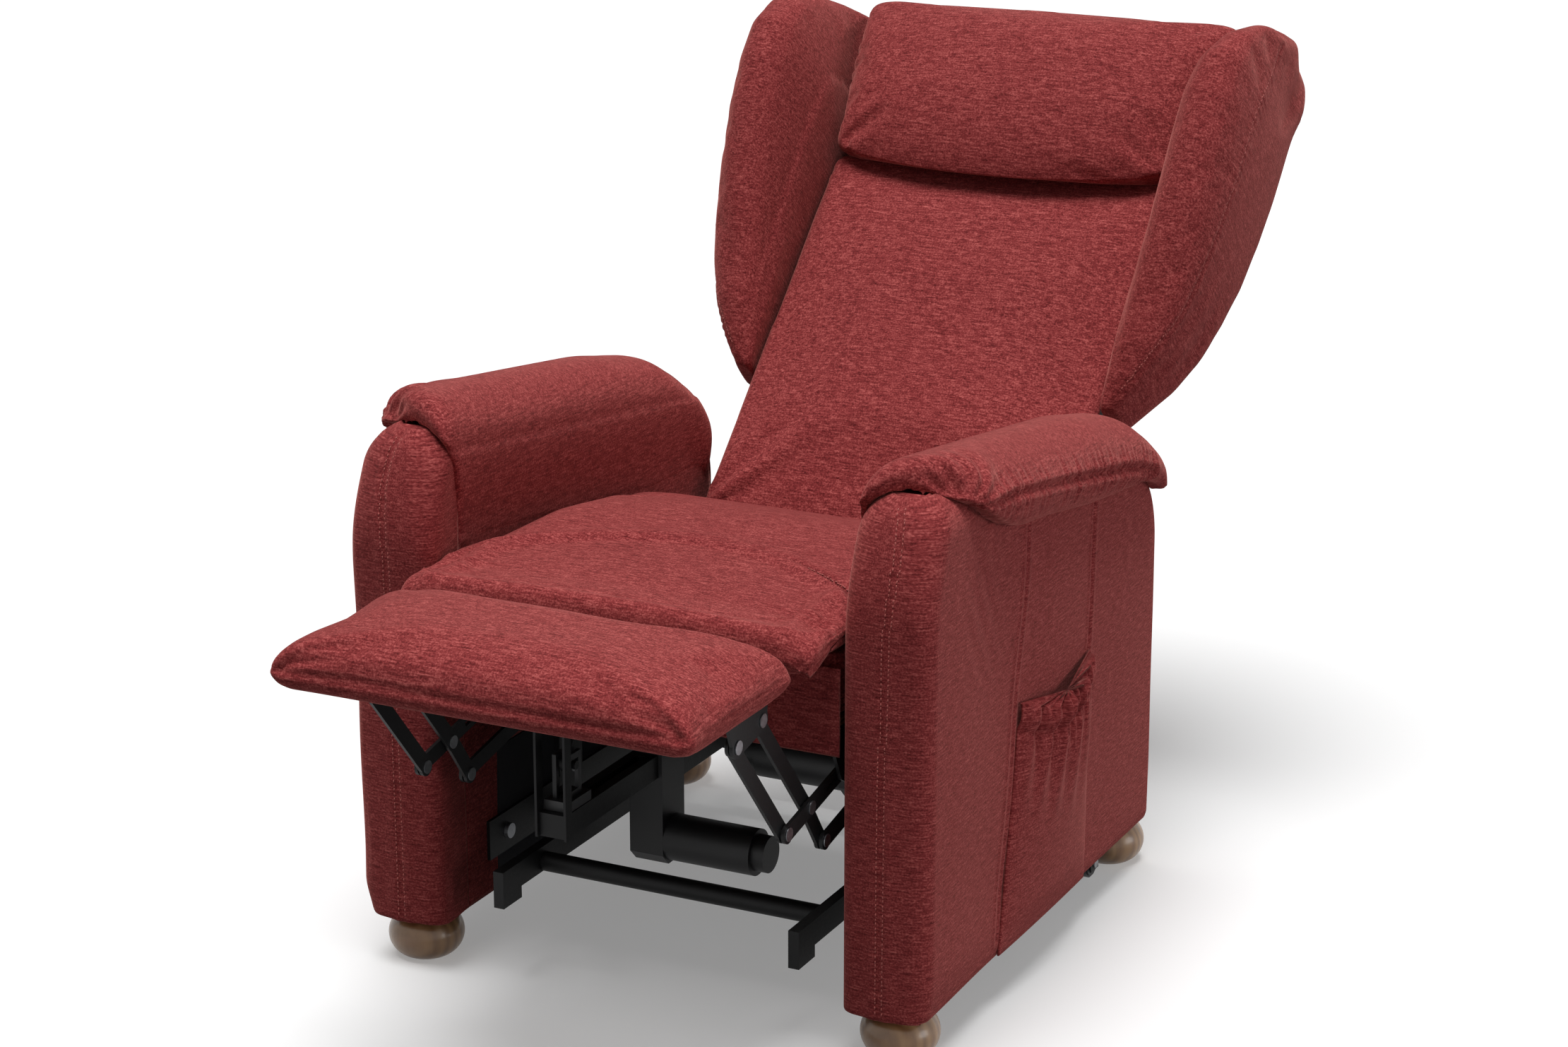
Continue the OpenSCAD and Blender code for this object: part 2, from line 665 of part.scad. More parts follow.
module roller() {
  color(plastic) difference() {
    union() {
      cross_bar([roller_y, roller_z], roller_r, arm_mid - roller_w / 2 + 2, arm_mid + roller_w / 2 - 2);
      cross_bar([roller_y, roller_z], roller_r - 2.5, arm_mid - roller_w / 2, arm_mid + roller_w / 2);
    }
    cross_bar([roller_y, roller_z], axle_r + 0.08, arm_mid - 30, arm_mid + 30);
  }
}
module roller_left() { placed() mirror([1, 0, 0]) roller(); }
module roller_right() { placed() roller(); }

// Seat cushion: an arched channel where the leg support's padding starts, a crest and a tucked rear
function seam_y(x) = seam_y_mid - (seam_y_mid - seam_y_side) * pow(2 * x / seat_w, 2);
function seat_under(y) = seat_top_z + cushion_gap - (y - seat_y) * tan(seat_rake);
function seat_outline(x) = let (s = seam_y(x), f = seat_y + 3, r = seat_rear_y)
  [[f + 12, seat_under(f)], [f + 90, seat_under(f + 90)], [f + 300, seat_under(f + 300)],
    [r - 70, seat_under(r - 70)], [r - 8, seat_under(r)], [r, seat_under(r) + 18],
    [r - 3, seat_h - 108], [r - 22, seat_h - 88], [r - 78, seat_h - 62], [r - 150, seat_h - 41],
    [r - 225, seat_h - 22], [(s + 16 + r - 225) / 2 + 12, seat_h - 7], [s + 16, seat_h - 2], [s + 3, seat_h - 7],
    [s - 3, seat_h - 7], [s - 16, seat_h - 1], [(s + f) / 2, seat_h + 2], [f + 16, seat_h - 4],
    [f + 4, seat_h - 20], [f, seat_h - 60]];
module seat_cushion() {
  mid = [(seat_y + seat_rear_y) / 2, seat_h - 73];
  color(cloth) placed() skin([for (x = stations(seat_w / 2, 26))
    let (d = drawn_in(x, seat_w / 2, 26), crest = 1 - pow(2 * x / seat_w, 2))
    [for (q = seat_outline(x))
      let (v = q - mid, up = q[1] > seat_h - 33 ? 5 * crest : 0)
      [x, mid[0] + v[0] * (1 - d / 300), mid[1] + v[1] * (1 - d / 62) + up]]]);
}

// Wooden seat frame: side rails, end rails and two cross rails that carry the drives
cross_rail_y = [housing_y(0) + 12 - seat_y, housing_y(1) + 12 - seat_y];
function housing_y(i) = i == 0 ? drive_y : back_drive_y;
function rail_under(y) = seat_base - (y - seat_y) * tan(seat_rake);
plate_bolt_y = [90, 250, 430];
module plate_bolt_at(y, r, x0, x1) {
  cross_bar([y, rail_under(y) + seat_rail_h / 2], r, x0, x1);
}
module seat_frame() {
  color(wood) placed() difference() {
    at_seat() {
      both() box([seat_side_in, seat_side_out], [0, seat_depth], [0, seat_rail_h]);
      for (y = [0, seat_depth - seat_rail_t])
        box([-seat_side_in + glue_gap, seat_side_in - glue_gap], [y, y + seat_rail_t], [0, seat_rail_h]);
      for (y = cross_rail_y)
        box([-seat_side_in + glue_gap, seat_side_in - glue_gap], [y, y + seat_rail_t],
          [0, seat_rail_h - 8]);
    }
    both() for (y = plate_bolt_y) plate_bolt_at(y, 3 + fit_gap, seat_side_in - 1, seat_side_out + 1);
  }
}

module seat_springs() {
  pitch = 2 * (seat_side_in - 24) / (spring_count - 1);
  color(bright) placed() at_seat() for (i = [0:spring_count - 1])
    translate([-seat_side_in + 24 + pitch * i, 4, seat_rail_h + run_gap]) rotate(90)
      linear_extrude(spring_t) polygon(zigzag(seat_depth - 8, 15, 62, spring_t));
}

// Steel seat plates: from the drive pivot at the front to the back's hinge at the rear
module seat_plates() {
  slot = rivet_r + 0.6;
  color(steel) placed() both() side_plate_at(seat_plate_x, plate_t) difference() {
    union() {
      polygon([[seat_y + 8, rail_under(seat_y + 8) + 6], [seat_y + 30, drive_pivot[1] - 14],
        low_pivot + [-24, -7.5], low_pivot + [0, -17.5], low_pivot + [26, -11.5],
        seat_pivot + [-40, -28], seat_pivot + [0, -28],
        carrier_high + [-60, -6], carrier_high + [0, -22], carrier_high + [24, -12],
        [back_hinge[0] + 14, back_hinge[1] - 13], [back_hinge[0] - 14, back_hinge[1] + 13],
        [back_hinge[0] - 21, back_hinge[1] - 20], [back_hinge[0] - 42, back_hinge[1] - 42],
        [seat_rear_y + 6, seat_base - 12], [seat_rear_y - 40, rail_under(seat_rear_y) + 22],
        [seat_y + 8, rail_under(seat_y + 8) + 22]]);
      translate(back_hinge) circle(r = 19, $fn = 48);
      translate(carrier_high) circle(r = 20, $fn = 48);
    }
    translate(drive_pivot) circle(r = 7 + fit_gap, $fn = 40);
    translate(low_pivot) circle(r = rivet_r + fit_gap, $fn = 40);
    translate(seat_pivot) circle(r = pivot_r + fit_gap, $fn = 40);
    translate(back_hinge) circle(r = pivot_r + fit_gap, $fn = 40);
    translate(carrier_high - [4, slot]) square([8, 2 * slot]);
    for (k = [-4, 4]) translate(carrier_high + [k, 0]) circle(r = slot, $fn = 40);
    polygon([for (p = [[-52, -8], [-22, -34], [-22, 8], [-52, 14]]) drive_pivot + p]);
    translate(seat_pivot + [-110, -8]) square([70, 30]);
    translate(seat_pivot + [40, -12]) square([90, 28]);
    for (y = plate_bolt_y) translate([y, rail_under(y) + seat_rail_h / 2])
      circle(r = 3 + fit_gap, $fn = 24);
  }
}

module plate_bolts() {
  out = seat_plate_x + plate_t + glue_gap;
  color(bright) placed() both() for (y = plate_bolt_y) {
    plate_bolt_at(y, 3, seat_side_in + 3, out + 0.5);
    plate_bolt_at(y, 6, out, out + 3);
  }
}

module lower_rivets() {
  color(bright) placed() both() rivet(low_pivot, bar_x - run_gap, seat_plate_x + plate_t + glue_gap);
}

module back_pins() {
  out = seat_plate_x + plate_t + glue_gap;
  color(bright) placed() both() {
    cross_bar(back_hinge, pivot_r, back_plate_x + run_gap, out + 0.5);
    cross_bar(back_hinge, pivot_r + 3, out, out + 3);
  }
}

// Drives: a slotted rail, a gear housing and a crosswise motor each
module drive_rail(x, y0, y1, z) {
  difference() {
    box([x - rail_w / 2, x + rail_w / 2], [y0, y1], [z, z + rail_h]);
    box([x - 5, x + 5], [y0 + 14, y1 - 10], [z + rail_h - 9, z + rail_h + 1]);
  }
}
module drive_hanger(x, y, z0, z1) {
  for (s = [x - rail_w / 2 - 3, x + rail_w / 2 - eps]) box([s, s + 3 + eps], [y, y + 14], [z0, z1]);
  box([x - rail_w / 2 - 3, x + rail_w / 2 + 3], [y, y + 14], [z1 - 3, z1]);
}
module drive_rails() {
  back_end = back_drive_y + housing_l + back_rail_len;
  color(steel) placed() {
    drive_rail(-drive_side, rail_front, drive_y - glue_gap, rail_z);
    drive_hanger(-drive_side, seat_y, rail_z, rail_under(seat_y + 14) - glue_gap);
    drive_rail(drive_side, back_drive_y + housing_l + glue_gap, back_end, back_rail_z);
    drive_hanger(drive_side, back_end - 16, back_rail_z, rail_under(back_end) - glue_gap);
  }
}
module gear_housing(x, y, z0, z1) {
  side_plate_at(x - housing_w / 2, housing_w) polygon([[y, z0 + 14], [y + 14, z0],
    [y + housing_l - 14, z0], [y + housing_l, z0 + 14], [y + housing_l, z1 - 10],
    [y + housing_l - 10, z1], [y + 4, z1], [y, z1 - 4]]);
  box([x - 6, x + 6], [y + 14, y + 34], [z1 - eps, rail_under(y + 34) - glue_gap]);
}
module gear_housings() {
  color(plastic) placed() {
    gear_housing(-drive_side, drive_y, motor_z - motor_r - 2, rail_z + rail_h + 6);
    gear_housing(drive_side, back_drive_y, back_motor_z - motor_r - 2, back_rail_z + rail_h + 4);
  }
}
module motor(p, x0, x1, cap) {
  cross_bar(p, motor_r, min(x0, x1), max(x0, x1));
  cross_bar(p, motor_r - 6, cap > 0 ? x1 - eps : x1 - 16, cap > 0 ? x1 + 16 : x1 + eps);
}
module motors() {
  x = drive_side - housing_w / 2 - glue_gap;
  color(plastic) placed() {
    motor([drive_y + housing_l / 2, motor_z], -x, -x + motor_len, 1);
    motor([back_drive_y + housing_l / 2, back_motor_z], x, x - motor_len, -1);
  }
}
box_y = [400, 496];
box_z = [seat_base - 88, seat_base - 48];
module control_box() {
  color(plastic) placed() side_plate_at(-seat_plate_x + glue_gap, 40) polygon([
    [box_y[0], box_z[0] + 5], [box_y[0] + 5, box_z[0]], [box_y[1] - 5, box_z[0]],
    [box_y[1], box_z[0] + 5], [box_y[1], box_z[1] - 5], [box_y[1] - 5, box_z[1]],
    [box_y[0] + 5, box_z[1]], [box_y[0], box_z[1] - 5]]);
}

// Leads between the control box and the two drives, held at both ends
lead_bow = 55;
function lead_at(a, b, c, d, t) =
  pow(1 - t, 3) * a + 3 * t * pow(1 - t, 2) * b + 3 * t * t * (1 - t) * c + pow(t, 3) * d;
function lead_route(a, b, way) = let (p = a + 5 * way, q = b - 5 * way)
  concat([a], [for (t = [0:0.1:1]) lead_at(p, p + lead_bow * way, q - lead_bow * way, q, t)], [b]);
module motor_leads() {
  entry_z = (box_z[0] + box_z[1]) / 2;
  box_in = -seat_plate_x + glue_gap + 40;
  cap_x = drive_side - housing_w / 2 - motor_len - 16;
  color(plastic) placed() {
    swept(lead_route([-drive_side, drive_y + housing_l + glue_gap, rail_z - 10],
      [box_in - 20, box_y[0] - glue_gap, entry_z], [0, 1, 0]), lead_r);
    swept(lead_route([cap_x - 2 * glue_gap, back_drive_y + housing_l / 2, back_motor_z],
      [box_in + glue_gap, (box_y[0] + box_y[1]) / 2, entry_z], [-1, 0, 0]), lead_r);
  }
}

// Leg support
hinge_x = [30 - seat_side_in, 0, seat_side_in - 30];
knuckle_r = 3.8;
module flap_hinge_pins() {
  y1 = seat_y - run_gap;
  color(bright) placed() for (x = hinge_x) {
    cross_bar(flap_hinge, 2, x - 24, x + 24);
    for (s = [x - 24, x + 16]) {
      box([s, s + 8], [y1 - 3, y1], [seat_base, flap_hinge[1]]);
      cross_bar(flap_hinge, 3.4, s, s + 8);
    }
  }
}
module flap_hinge_straps() {
  color(bright) placed() for (x = hinge_x) difference() {
    union() {
      cross_bar(flap_hinge, knuckle_r, x - 15.5, x + 15.5);
      box([x - 15.5, x + 15.5], [flap_hinge[0] - 62, flap_hinge[0]],
        [flap_z - 3 - glue_gap, flap_z - glue_gap]);
      box([x - 15.5, x + 15.5], [flap_hinge[0] - 3.5, flap_hinge[0] - 0.5],
        [flap_hinge[1], flap_z - glue_gap]);
    }
    cross_bar(flap_hinge, 2 + fit_gap, x - 20, x + 20);
  }
}
flap_rear = flap_hinge[0] + 5;
flap_front = flap_hinge[0] - flap_reach;
module middle_flap() {
  mid = (flap_rear + flap_front) / 2;
  color(cloth) placed() difference() {
    translate([0, mid, flap_z]) pillow(flap_w, flap_rear - flap_front, flap_t, 20, 2, 2, 5);
    box([-flap_w / 2 + 20, flap_w / 2 - 20], [flap_front + 14, flap_rear - 8],
      [flap_z - 1, flap_z + leg_board_t]);
  }
}
module flap_board() {
  color(board) placed() box([-flap_w / 2 + 20 + run_gap, flap_w / 2 - 20 - run_gap],
    [flap_front + 14 + run_gap, flap_rear - 8 - run_gap], [flap_z, flap_z + leg_board_t - run_gap]);
}

module drive_links() {
  color(steel) placed() both() side_plate_at(bar_x, link_t) difference() {
    union() {
      link(drive_pivot, link_low, link_w, []);
      translate(drive_pivot) circle(r = 13, $fn = 48);
    }
    translate(drive_pivot) circle(r = 7 + fit_gap, $fn = 40);
    for (p = [cross_pivot, link_low]) translate(p) circle(r = rivet_r + fit_gap, $fn = 40);
    translate(drive_pivot + 0.5 * drive_reach) rotate(atan2(drive_reach[1], drive_reach[0]))
      square([54, 5], center = true);
  }
}

module drive_tube() {
  color(steel) placed() {
    cross_bar(drive_pivot, tube_r, -bar_x + glue_gap, bar_x - glue_gap);
    both() cross_bar(drive_pivot, 7, bar_x - 1, seat_plate_x + plate_t + 2);
    side_plate_at(-drive_side - crank_t / 2, crank_t) link(drive_pivot, crank_pin, 19, []);
    cross_bar(crank_pin, pin_r, -drive_side - 13, -drive_side + 13);
  }
}

module lower_links() {
  color(steel) placed() both() side_plate_at(bar_x, link_t)
    link(low_pivot, cross_low, link_w, [low_pivot, cross_low]);
}

module cross_links() {
  color(steel) placed() both() side_plate_at(link_x, link_t) difference() {
    union() {
      link(cross_low, cross_pivot, link_w, []);
      link(cross_pivot, foot_pivot, link_w, []);
    }
    for (p = [cross_low, cross_pivot, foot_pivot]) translate(p) circle(r = rivet_r + fit_gap, $fn = 40);
  }
}
module rivets(points) {
  both() for (p = points) rivet(p, link_x - run_gap, bar_x + link_t + run_gap);
}
module cross_rivets() {
  color(bright) placed() rivets([cross_low, cross_pivot, foot_pivot]);
}
module footrest_links() {
  color(steel) placed() both() side_plate_at(link_x, link_t)
    link(link_low, foot_pivot_front, link_w, [link_low, foot_pivot_front]);
}
module footrest_rivets() {
  color(bright) placed() rivets([link_low, foot_pivot_front]);
}

module footrest_brackets() {
  z = footrest_h - glue_gap;
  color(steel) placed() both() {
    side_plate_at(bar_x, link_t) difference() {
      union() {
        link(foot_pivot, foot_pivot_front, 22, []);
        polygon([[foot_pivot_front[0] - 10, foot_pivot_front[1]], [foot_pivot[0] + 10, foot_pivot[1]],
          [foot_pivot[0] + 12, z - 3], [foot_pivot_front[0] - 22, z - 3]]);
      }
      for (p = [foot_pivot, foot_pivot_front]) translate(p) circle(r = rivet_r + fit_gap, $fn = 40);
    }
    box([bar_x - 24, bar_x + link_t], [foot_pivot_front[0] - 22, foot_pivot[0] + 12], [z - 3 - eps, z]);
  }
}

footrest_rim = 16;
module footrest_pad() {
  x = footrest_w / 2 - footrest_rim;
  color(cloth) placed() difference() {
    translate([0, footrest_y - footrest_depth / 2, footrest_h])
      pillow(footrest_w, footrest_depth, footrest_t, 20, 5, 3, 6);
    box([-x, x], [footrest_front + footrest_rim, footrest_y - footrest_rim],
      [footrest_h - 1, footrest_h + leg_board_t]);
  }
}
module footrest_board() {
  x = footrest_w / 2 - footrest_rim - run_gap;
  color(board) placed() box([-x, x],
    [footrest_front + footrest_rim + run_gap, footrest_y - footrest_rim - run_gap],
    [footrest_h, footrest_h + leg_board_t - run_gap]);
}

// Slider whose yoke takes the crank's pin
module yoke(x, p, z0, z1, slot_low, slot_high, half) {
  for (s = [x - crank_t / 2 - 2 - yoke_t, x + crank_t / 2 + 2]) difference() {
    box([s, s + yoke_t], [p[0] - 15, p[0] + 15], [z0, z1]);
    box([s - 1, s + yoke_t + 1], [p[0] - half, p[0] + half], [slot_low, slot_high]);
  }
}
module footrest_slider() {
  z = rail_z + rail_h + run_gap;
  color(plastic) placed() {
    box([-drive_side - 16, -drive_side + 16], [crank_pin[0] - 24, crank_pin[0] + 26], [z, z + 12]);
    yoke(-drive_side, crank_pin, z + 12 - eps, crank_pin[1] + 14,
      drive_pivot[1] - crank_r - pin_r - 1.5, crank_pin[1] + pin_r + 1.5, pin_r + 3.6);
  }
}
module back_slider() {
  z = back_rail_z + rail_h + run_gap;
  block_y = back_drive_y + housing_l + 34;
  bar_z = back_pin[1] - 7;
  color(plastic) placed() {
    box([drive_side - 16, drive_side + 16], [block_y, block_y + 50], [z, bar_z + eps]);
    box([drive_side - 10, drive_side + 10], [block_y, back_pin[0] - 14], [bar_z, bar_z + 14]);
    yoke(drive_side, back_pin, bar_z - 4, bar_z + 24, back_hinge[1] - lever_r - pin_r - 1.5,
      back_pin[1] + pin_r + 7, pin_r + 1.6);
  }
}

module rear_carrier() {
  color(steel) placed() both() {
    side_plate_at(carrier_x, link_t) link(carrier_low, carrier_high, 24, [carrier_low]);
    cross_bar(carrier_high, rivet_r, seat_plate_x - 1.5, carrier_x + eps);
  }
}

// Back
back_seam = head_up - 3;
cushion_d = 31;
module back_cushion() {
  l = back_seam + back_tail;
  color(cloth) placed() at_back() translate([0, cushion_d, (back_seam - back_tail) / 2]) rotate([90, 0, 0])
    pillow(back_w, l, cushion_d, 18, 12, 2, 8);
}

// Half width between the wings, wider behind the head
function wing_root(s) = s < head_up ? back_w / 2 + 1
  : back_w / 2 + 1 + (head_w - back_w) / 2 * (s - head_up) / (back_len - head_up);
module head_cushion() {
  l = back_len - head_up;
  color(cloth) placed() at_back() translate([0, cushion_d, (back_len + head_up) / 2]) rotate([90, 0, 0])
    skin([for (x = stations(1, 0.16)) let (d = 34 * drawn_in(x, 1, 0.16) / 0.16)
      [for (q = padded(l - 1.1 * d, cushion_d + head_t - 34 - d, 3.4, 20))
        let (across = 1 - x * x, along = 1 - pow(2 * q[0] / l, 2), z = (cushion_d + head_t - 34) / 2 + q[1])
        [x * (wing_root(q[0] + (back_len + head_up) / 2) - 1.5), q[0],
          z + (q[1] > 0 ? 34 * pow(across, 0.7) * along : 0)]]]);
}

// Wing outline up its length: front edge, outer face and rear edge
wing_low = 100;
wing_peak = back_len - back_corner_r + back_corner_r * sin(back_lean);
function wing_front(s) = -wing_reach * lookup(s / back_len,
  [[0.14, 0], [0.19, 0.15], [0.25, 0.29], [0.33, 0.43], [0.46, 0.68], [0.6, 0.89], [0.71, 1],
    [0.78, 1], [0.84, 0.87], [0.9, 0.62], [0.95, 0.28], [0.98, 0.02], [1, -0.22]]);
function wing_out(s) = back_w / 2 + (wing_span - back_w) / 2 * lookup(s / back_len,
  [[0.14, 0.22], [0.19, 0.44], [0.25, 0.65], [0.33, 0.81], [0.46, 0.93], [0.6, 0.98], [0.71, 1],
    [0.9, 0.98], [0.95, 0.9], [1, 0.68]]);
function wing_rear(s) = s > back_len - back_corner_r
  ? back_t - back_corner_r + sqrt(max(0, pow(back_corner_r, 2) - pow(s - back_len + back_corner_r, 2)))
  : back_t * min(1, lookup(s / back_len, [[0.14, 0.62], [0.25, 0.76], [0.38, 0.9], [0.52, 1]]));
function wing_ring(s) =
  let (root = wing_root(s), f = wing_front(s), out = wing_out(s), b = wing_rear(s),
    r = min(wing_nose_r, (out - root) / 2 - 1, (b - f) / 3), inner = max(-4, f + 0.6 * r), c = min(24, r))
  concat([[root, inner, s], [root + 0.4 * (out - 2 * r - root) - 5, inner + 0.45 * (f + r - inner), s]],
    [for (k = [0:6]) [out - r + r * cos(180 + 30 * k), f + r + r * sin(180 + 30 * k), s]],
    [[out + 1, (f + b) / 2, s]],
    [for (k = [0:3]) [out - c + c * cos(30 * k), b - c + c * sin(30 * k), s]],
    [[(root + out - c) / 2, b, s], [root, b, s], [root, (inner + b) / 2, s]]);
module wing() {
  steps = concat([for (k = [0.14, 0.165, 0.19, 0.25, 0.33, 0.41, 0.5, 0.6, 0.69, 0.77, 0.84, 0.9])
    k * back_len],
    [wing_peak - 12, wing_peak, back_len - 3, back_len]);
  color(cloth) at_back() skin([for (s = steps) wing_ring(s)]);
}
module wing_left() { placed() mirror([1, 0, 0]) wing(); }
module wing_right() { placed() wing(); }

module back_frame() {
  low = -48;
  high = back_len - 34;
  color(wood) placed() at_back() {
    both() box([post_half, post_half + post_t], [post_in, post_out], [low, high]);
    for (s = [low + 2, head_up - 40, high - 44])
      box([-post_half + glue_gap, post_half - glue_gap], [post_in + 8, post_out], [s, s + 44]);
  }
}
module back_springs() {
  l = 2 * post_half + post_t;
  color(bright) placed() at_back() for (s = [40, 118, 196, 274, 352])
    translate([-l / 2, post_in - run_gap, s]) rotate([90, 0, 0])
      linear_extrude(spring_t) polygon(zigzag(l, 15, 60, spring_t));
}
// Rear cover, turned forward over the top of the frame, as wide as the space between the wings
function cover_ring(x, e) =
  let (low = -18 + e, high = back_len - 2 - e, out = back_t - e, under = back_len - 32,
    lip = cushion_d + 2, r = back_corner_r - e,
    outer = concat([[out - 8, low], [out, low + 8], [out, 200], [out, head_up]],
      [for (k = [0:30:90]) [out - r + r * cos(k), high - r + r * sin(k)]], [[50, high], [lip, high - 3]]),
    inner = [[cover_in + 4, low], [cover_in, low + 6], [cover_in, 200], [cover_in, head_up],
      [cover_in, high - 60], [cover_in, under - 12], [cover_in, under], [60, under], [48, under],
      [lip, under]])
  [for (q = concat(outer, [for (i = [len(inner) - 1:-1:0]) inner[i]]))
    [x * (wing_root(q[1]) - run_gap), q[0], q[1]]];
module back_cover() {
  edge = 0.06;
  color(cloth_dark) placed() at_back()
    skin([for (x = stations(1, edge)) cover_ring(x, 10 * drawn_in(x, 1, edge) / edge)], strip = true);
}
module back_brackets() {
  x = drive_side - crank_t / 2;
  color(steel) placed() {
    at_back() both() side_plate_at(back_plate_x, link_t) difference() {
      union() {
        translate([post_in + 2, back_pivot[0]]) square([post_out - post_in - 4, 190]);
        translate([back_pivot[1], back_pivot[0]]) circle(r = 18, $fn = 48);
      }
      translate([back_pivot[1], back_pivot[0]]) circle(r = pivot_r + fit_gap, $fn = 40);
    }
    cross_bar(back_hinge, 11, -back_plate_x + glue_gap, back_plate_x - glue_gap);
    side_plate_at(x, crank_t) link(back_hinge, back_pin, 20, []);
    cross_bar(back_pin, pin_r, drive_side - 13, drive_side + 13);
  }
}

arm_frame_left();
arm_frame_right();
arm_front_left();
arm_front_right();
arm_pad_left();
arm_pad_right();
side_panel_left();
side_panel_right();
inner_panel_left();
inner_panel_right();
lining_boards();
pocket();
bun_feet();
foot_bolts();
rear_rail();
base_rails();
cross_tubes();
side_plates();
mounting_bolts();
roller_brackets();
roller_axles();
roller_left();
roller_right();
seat_cushion();
seat_frame();
seat_springs();
seat_plates();
plate_bolts();
lower_rivets();
drive_rails();
gear_housings();
motors();
control_box();
motor_leads();
flap_hinge_pins();
flap_hinge_straps();
middle_flap();
flap_board();
drive_links();
drive_tube();
lower_links();
cross_links();
cross_rivets();
footrest_links();
footrest_rivets();
footrest_pad();
footrest_board();
footrest_brackets();
footrest_slider();
back_slider();
rear_carrier();
back_cushion();
head_cushion();
wing_left();
wing_right();
back_frame();
back_springs();
back_cover();
back_brackets();
back_pins();
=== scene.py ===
import math

import bpy
import numpy as np
from mathutils import Matrix, Vector
from mathutils.bvhtree import BVHTree
from mathutils.kdtree import KDTree


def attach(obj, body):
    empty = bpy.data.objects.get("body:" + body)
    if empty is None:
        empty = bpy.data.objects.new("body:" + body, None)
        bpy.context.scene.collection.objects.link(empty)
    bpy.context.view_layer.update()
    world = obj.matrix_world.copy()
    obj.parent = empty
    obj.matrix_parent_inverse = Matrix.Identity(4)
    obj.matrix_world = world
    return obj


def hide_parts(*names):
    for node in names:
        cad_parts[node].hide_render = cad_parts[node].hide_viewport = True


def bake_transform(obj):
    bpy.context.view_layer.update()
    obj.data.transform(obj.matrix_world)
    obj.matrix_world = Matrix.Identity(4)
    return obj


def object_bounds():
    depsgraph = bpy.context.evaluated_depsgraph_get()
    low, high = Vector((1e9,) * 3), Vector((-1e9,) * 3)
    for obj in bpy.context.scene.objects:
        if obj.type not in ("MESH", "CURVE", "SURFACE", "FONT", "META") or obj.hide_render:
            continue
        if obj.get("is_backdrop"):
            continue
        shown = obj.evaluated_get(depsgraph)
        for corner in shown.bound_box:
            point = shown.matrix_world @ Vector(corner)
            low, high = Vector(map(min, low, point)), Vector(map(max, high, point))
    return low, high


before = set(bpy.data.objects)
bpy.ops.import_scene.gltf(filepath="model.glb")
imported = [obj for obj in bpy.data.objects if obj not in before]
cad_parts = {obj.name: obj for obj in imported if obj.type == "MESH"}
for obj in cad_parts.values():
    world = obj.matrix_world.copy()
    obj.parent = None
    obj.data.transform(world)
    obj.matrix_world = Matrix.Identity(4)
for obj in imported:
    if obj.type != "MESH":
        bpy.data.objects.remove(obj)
cadLow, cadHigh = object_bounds()
scene = bpy.context.scene

# Lengths below are in millimetres in the chair's own directions: x across, y back from the arms' fronts, z up
footrestFront = -320
midY = footrestFront - 1000 * cadLow.y
chairBack = {"y": 682, "z": 480, "lean": math.radians(46)}
arm = {"inner": 254, "outer": 349, "middle": 301.5, "top": 600, "fall": math.tan(math.radians(7.3))}
seatHalf = 247


# small tools that every piece uses

def at(x, y, z):
    return Vector((x / 1000, (y - midY) / 1000, z / 1000))


def pick(*objects):
    bpy.ops.object.select_all(action="DESELECT")
    for o in objects:
        o.select_set(True)
    bpy.context.view_layer.objects.active = objects[-1]


def places(o):  # a piece's points, in millimetres in the chair's own directions
    co = np.empty(len(o.data.vertices) * 3)
    o.data.vertices.foreach_get("co", co)
    return co.reshape(-1, 3) * 1000 + (0, midY, 0)


def setPlaces(o, p):
    o.data.vertices.foreach_set("co", ((p - (0, midY, 0)) / 1000).ravel())
    o.data.update()


def outwards(o):
    n = np.empty(len(o.data.vertices) * 3)
    o.data.vertex_normals.foreach_get("vector", n)
    return n.reshape(-1, 3)


def ease(t):
    t = np.clip(t, 0, 1)
    return t * t * (3 - 2 * t)


def armTop(y):
    return arm["top"] - y * arm["fall"]


def lean(z):  # how far the arms' fronts lean back at a height
    return 40 * (np.clip(z - 500, 0, 134) / 134) ** 2


def toBack(p):  # x, distance square to the back's face (rearward), distance up the back
    dy, dz = p[:, 1] - chairBack["y"], p[:, 2] - chairBack["z"]
    c, s = math.cos(chairBack["lean"]), math.sin(chairBack["lean"])
    return np.column_stack([p[:, 0], dy * c - dz * s, dy * s + dz * c])


def fromBack(q):
    c, s = math.cos(chairBack["lean"]), math.sin(chairBack["lean"])
    return np.column_stack([q[:, 0], chairBack["y"] + q[:, 1] * c + q[:, 2] * s,
                            chairBack["z"] - q[:, 1] * s + q[:, 2] * c])


def newPiece(name, points, faces):
    mesh = bpy.data.meshes.new(name)
    mesh.from_pydata(((np.asarray(points) - (0, midY, 0)) / 1000).tolist(), [], faces)
    mesh.polygons.foreach_set("use_smooth", [True] * len(mesh.polygons))
    piece = bpy.data.objects.new(name, mesh)
    scene.collection.objects.link(piece)
    return piece


def tidyNormals(piece, reach=0.05):
    pick(piece)
    bpy.ops.object.mode_set(mode="EDIT")
    bpy.ops.mesh.select_all(action="SELECT")
    bpy.ops.mesh.remove_doubles(threshold=reach / 1000)
    bpy.ops.mesh.normals_make_consistent(inside=False)
    bpy.ops.object.mode_set(mode="OBJECT")


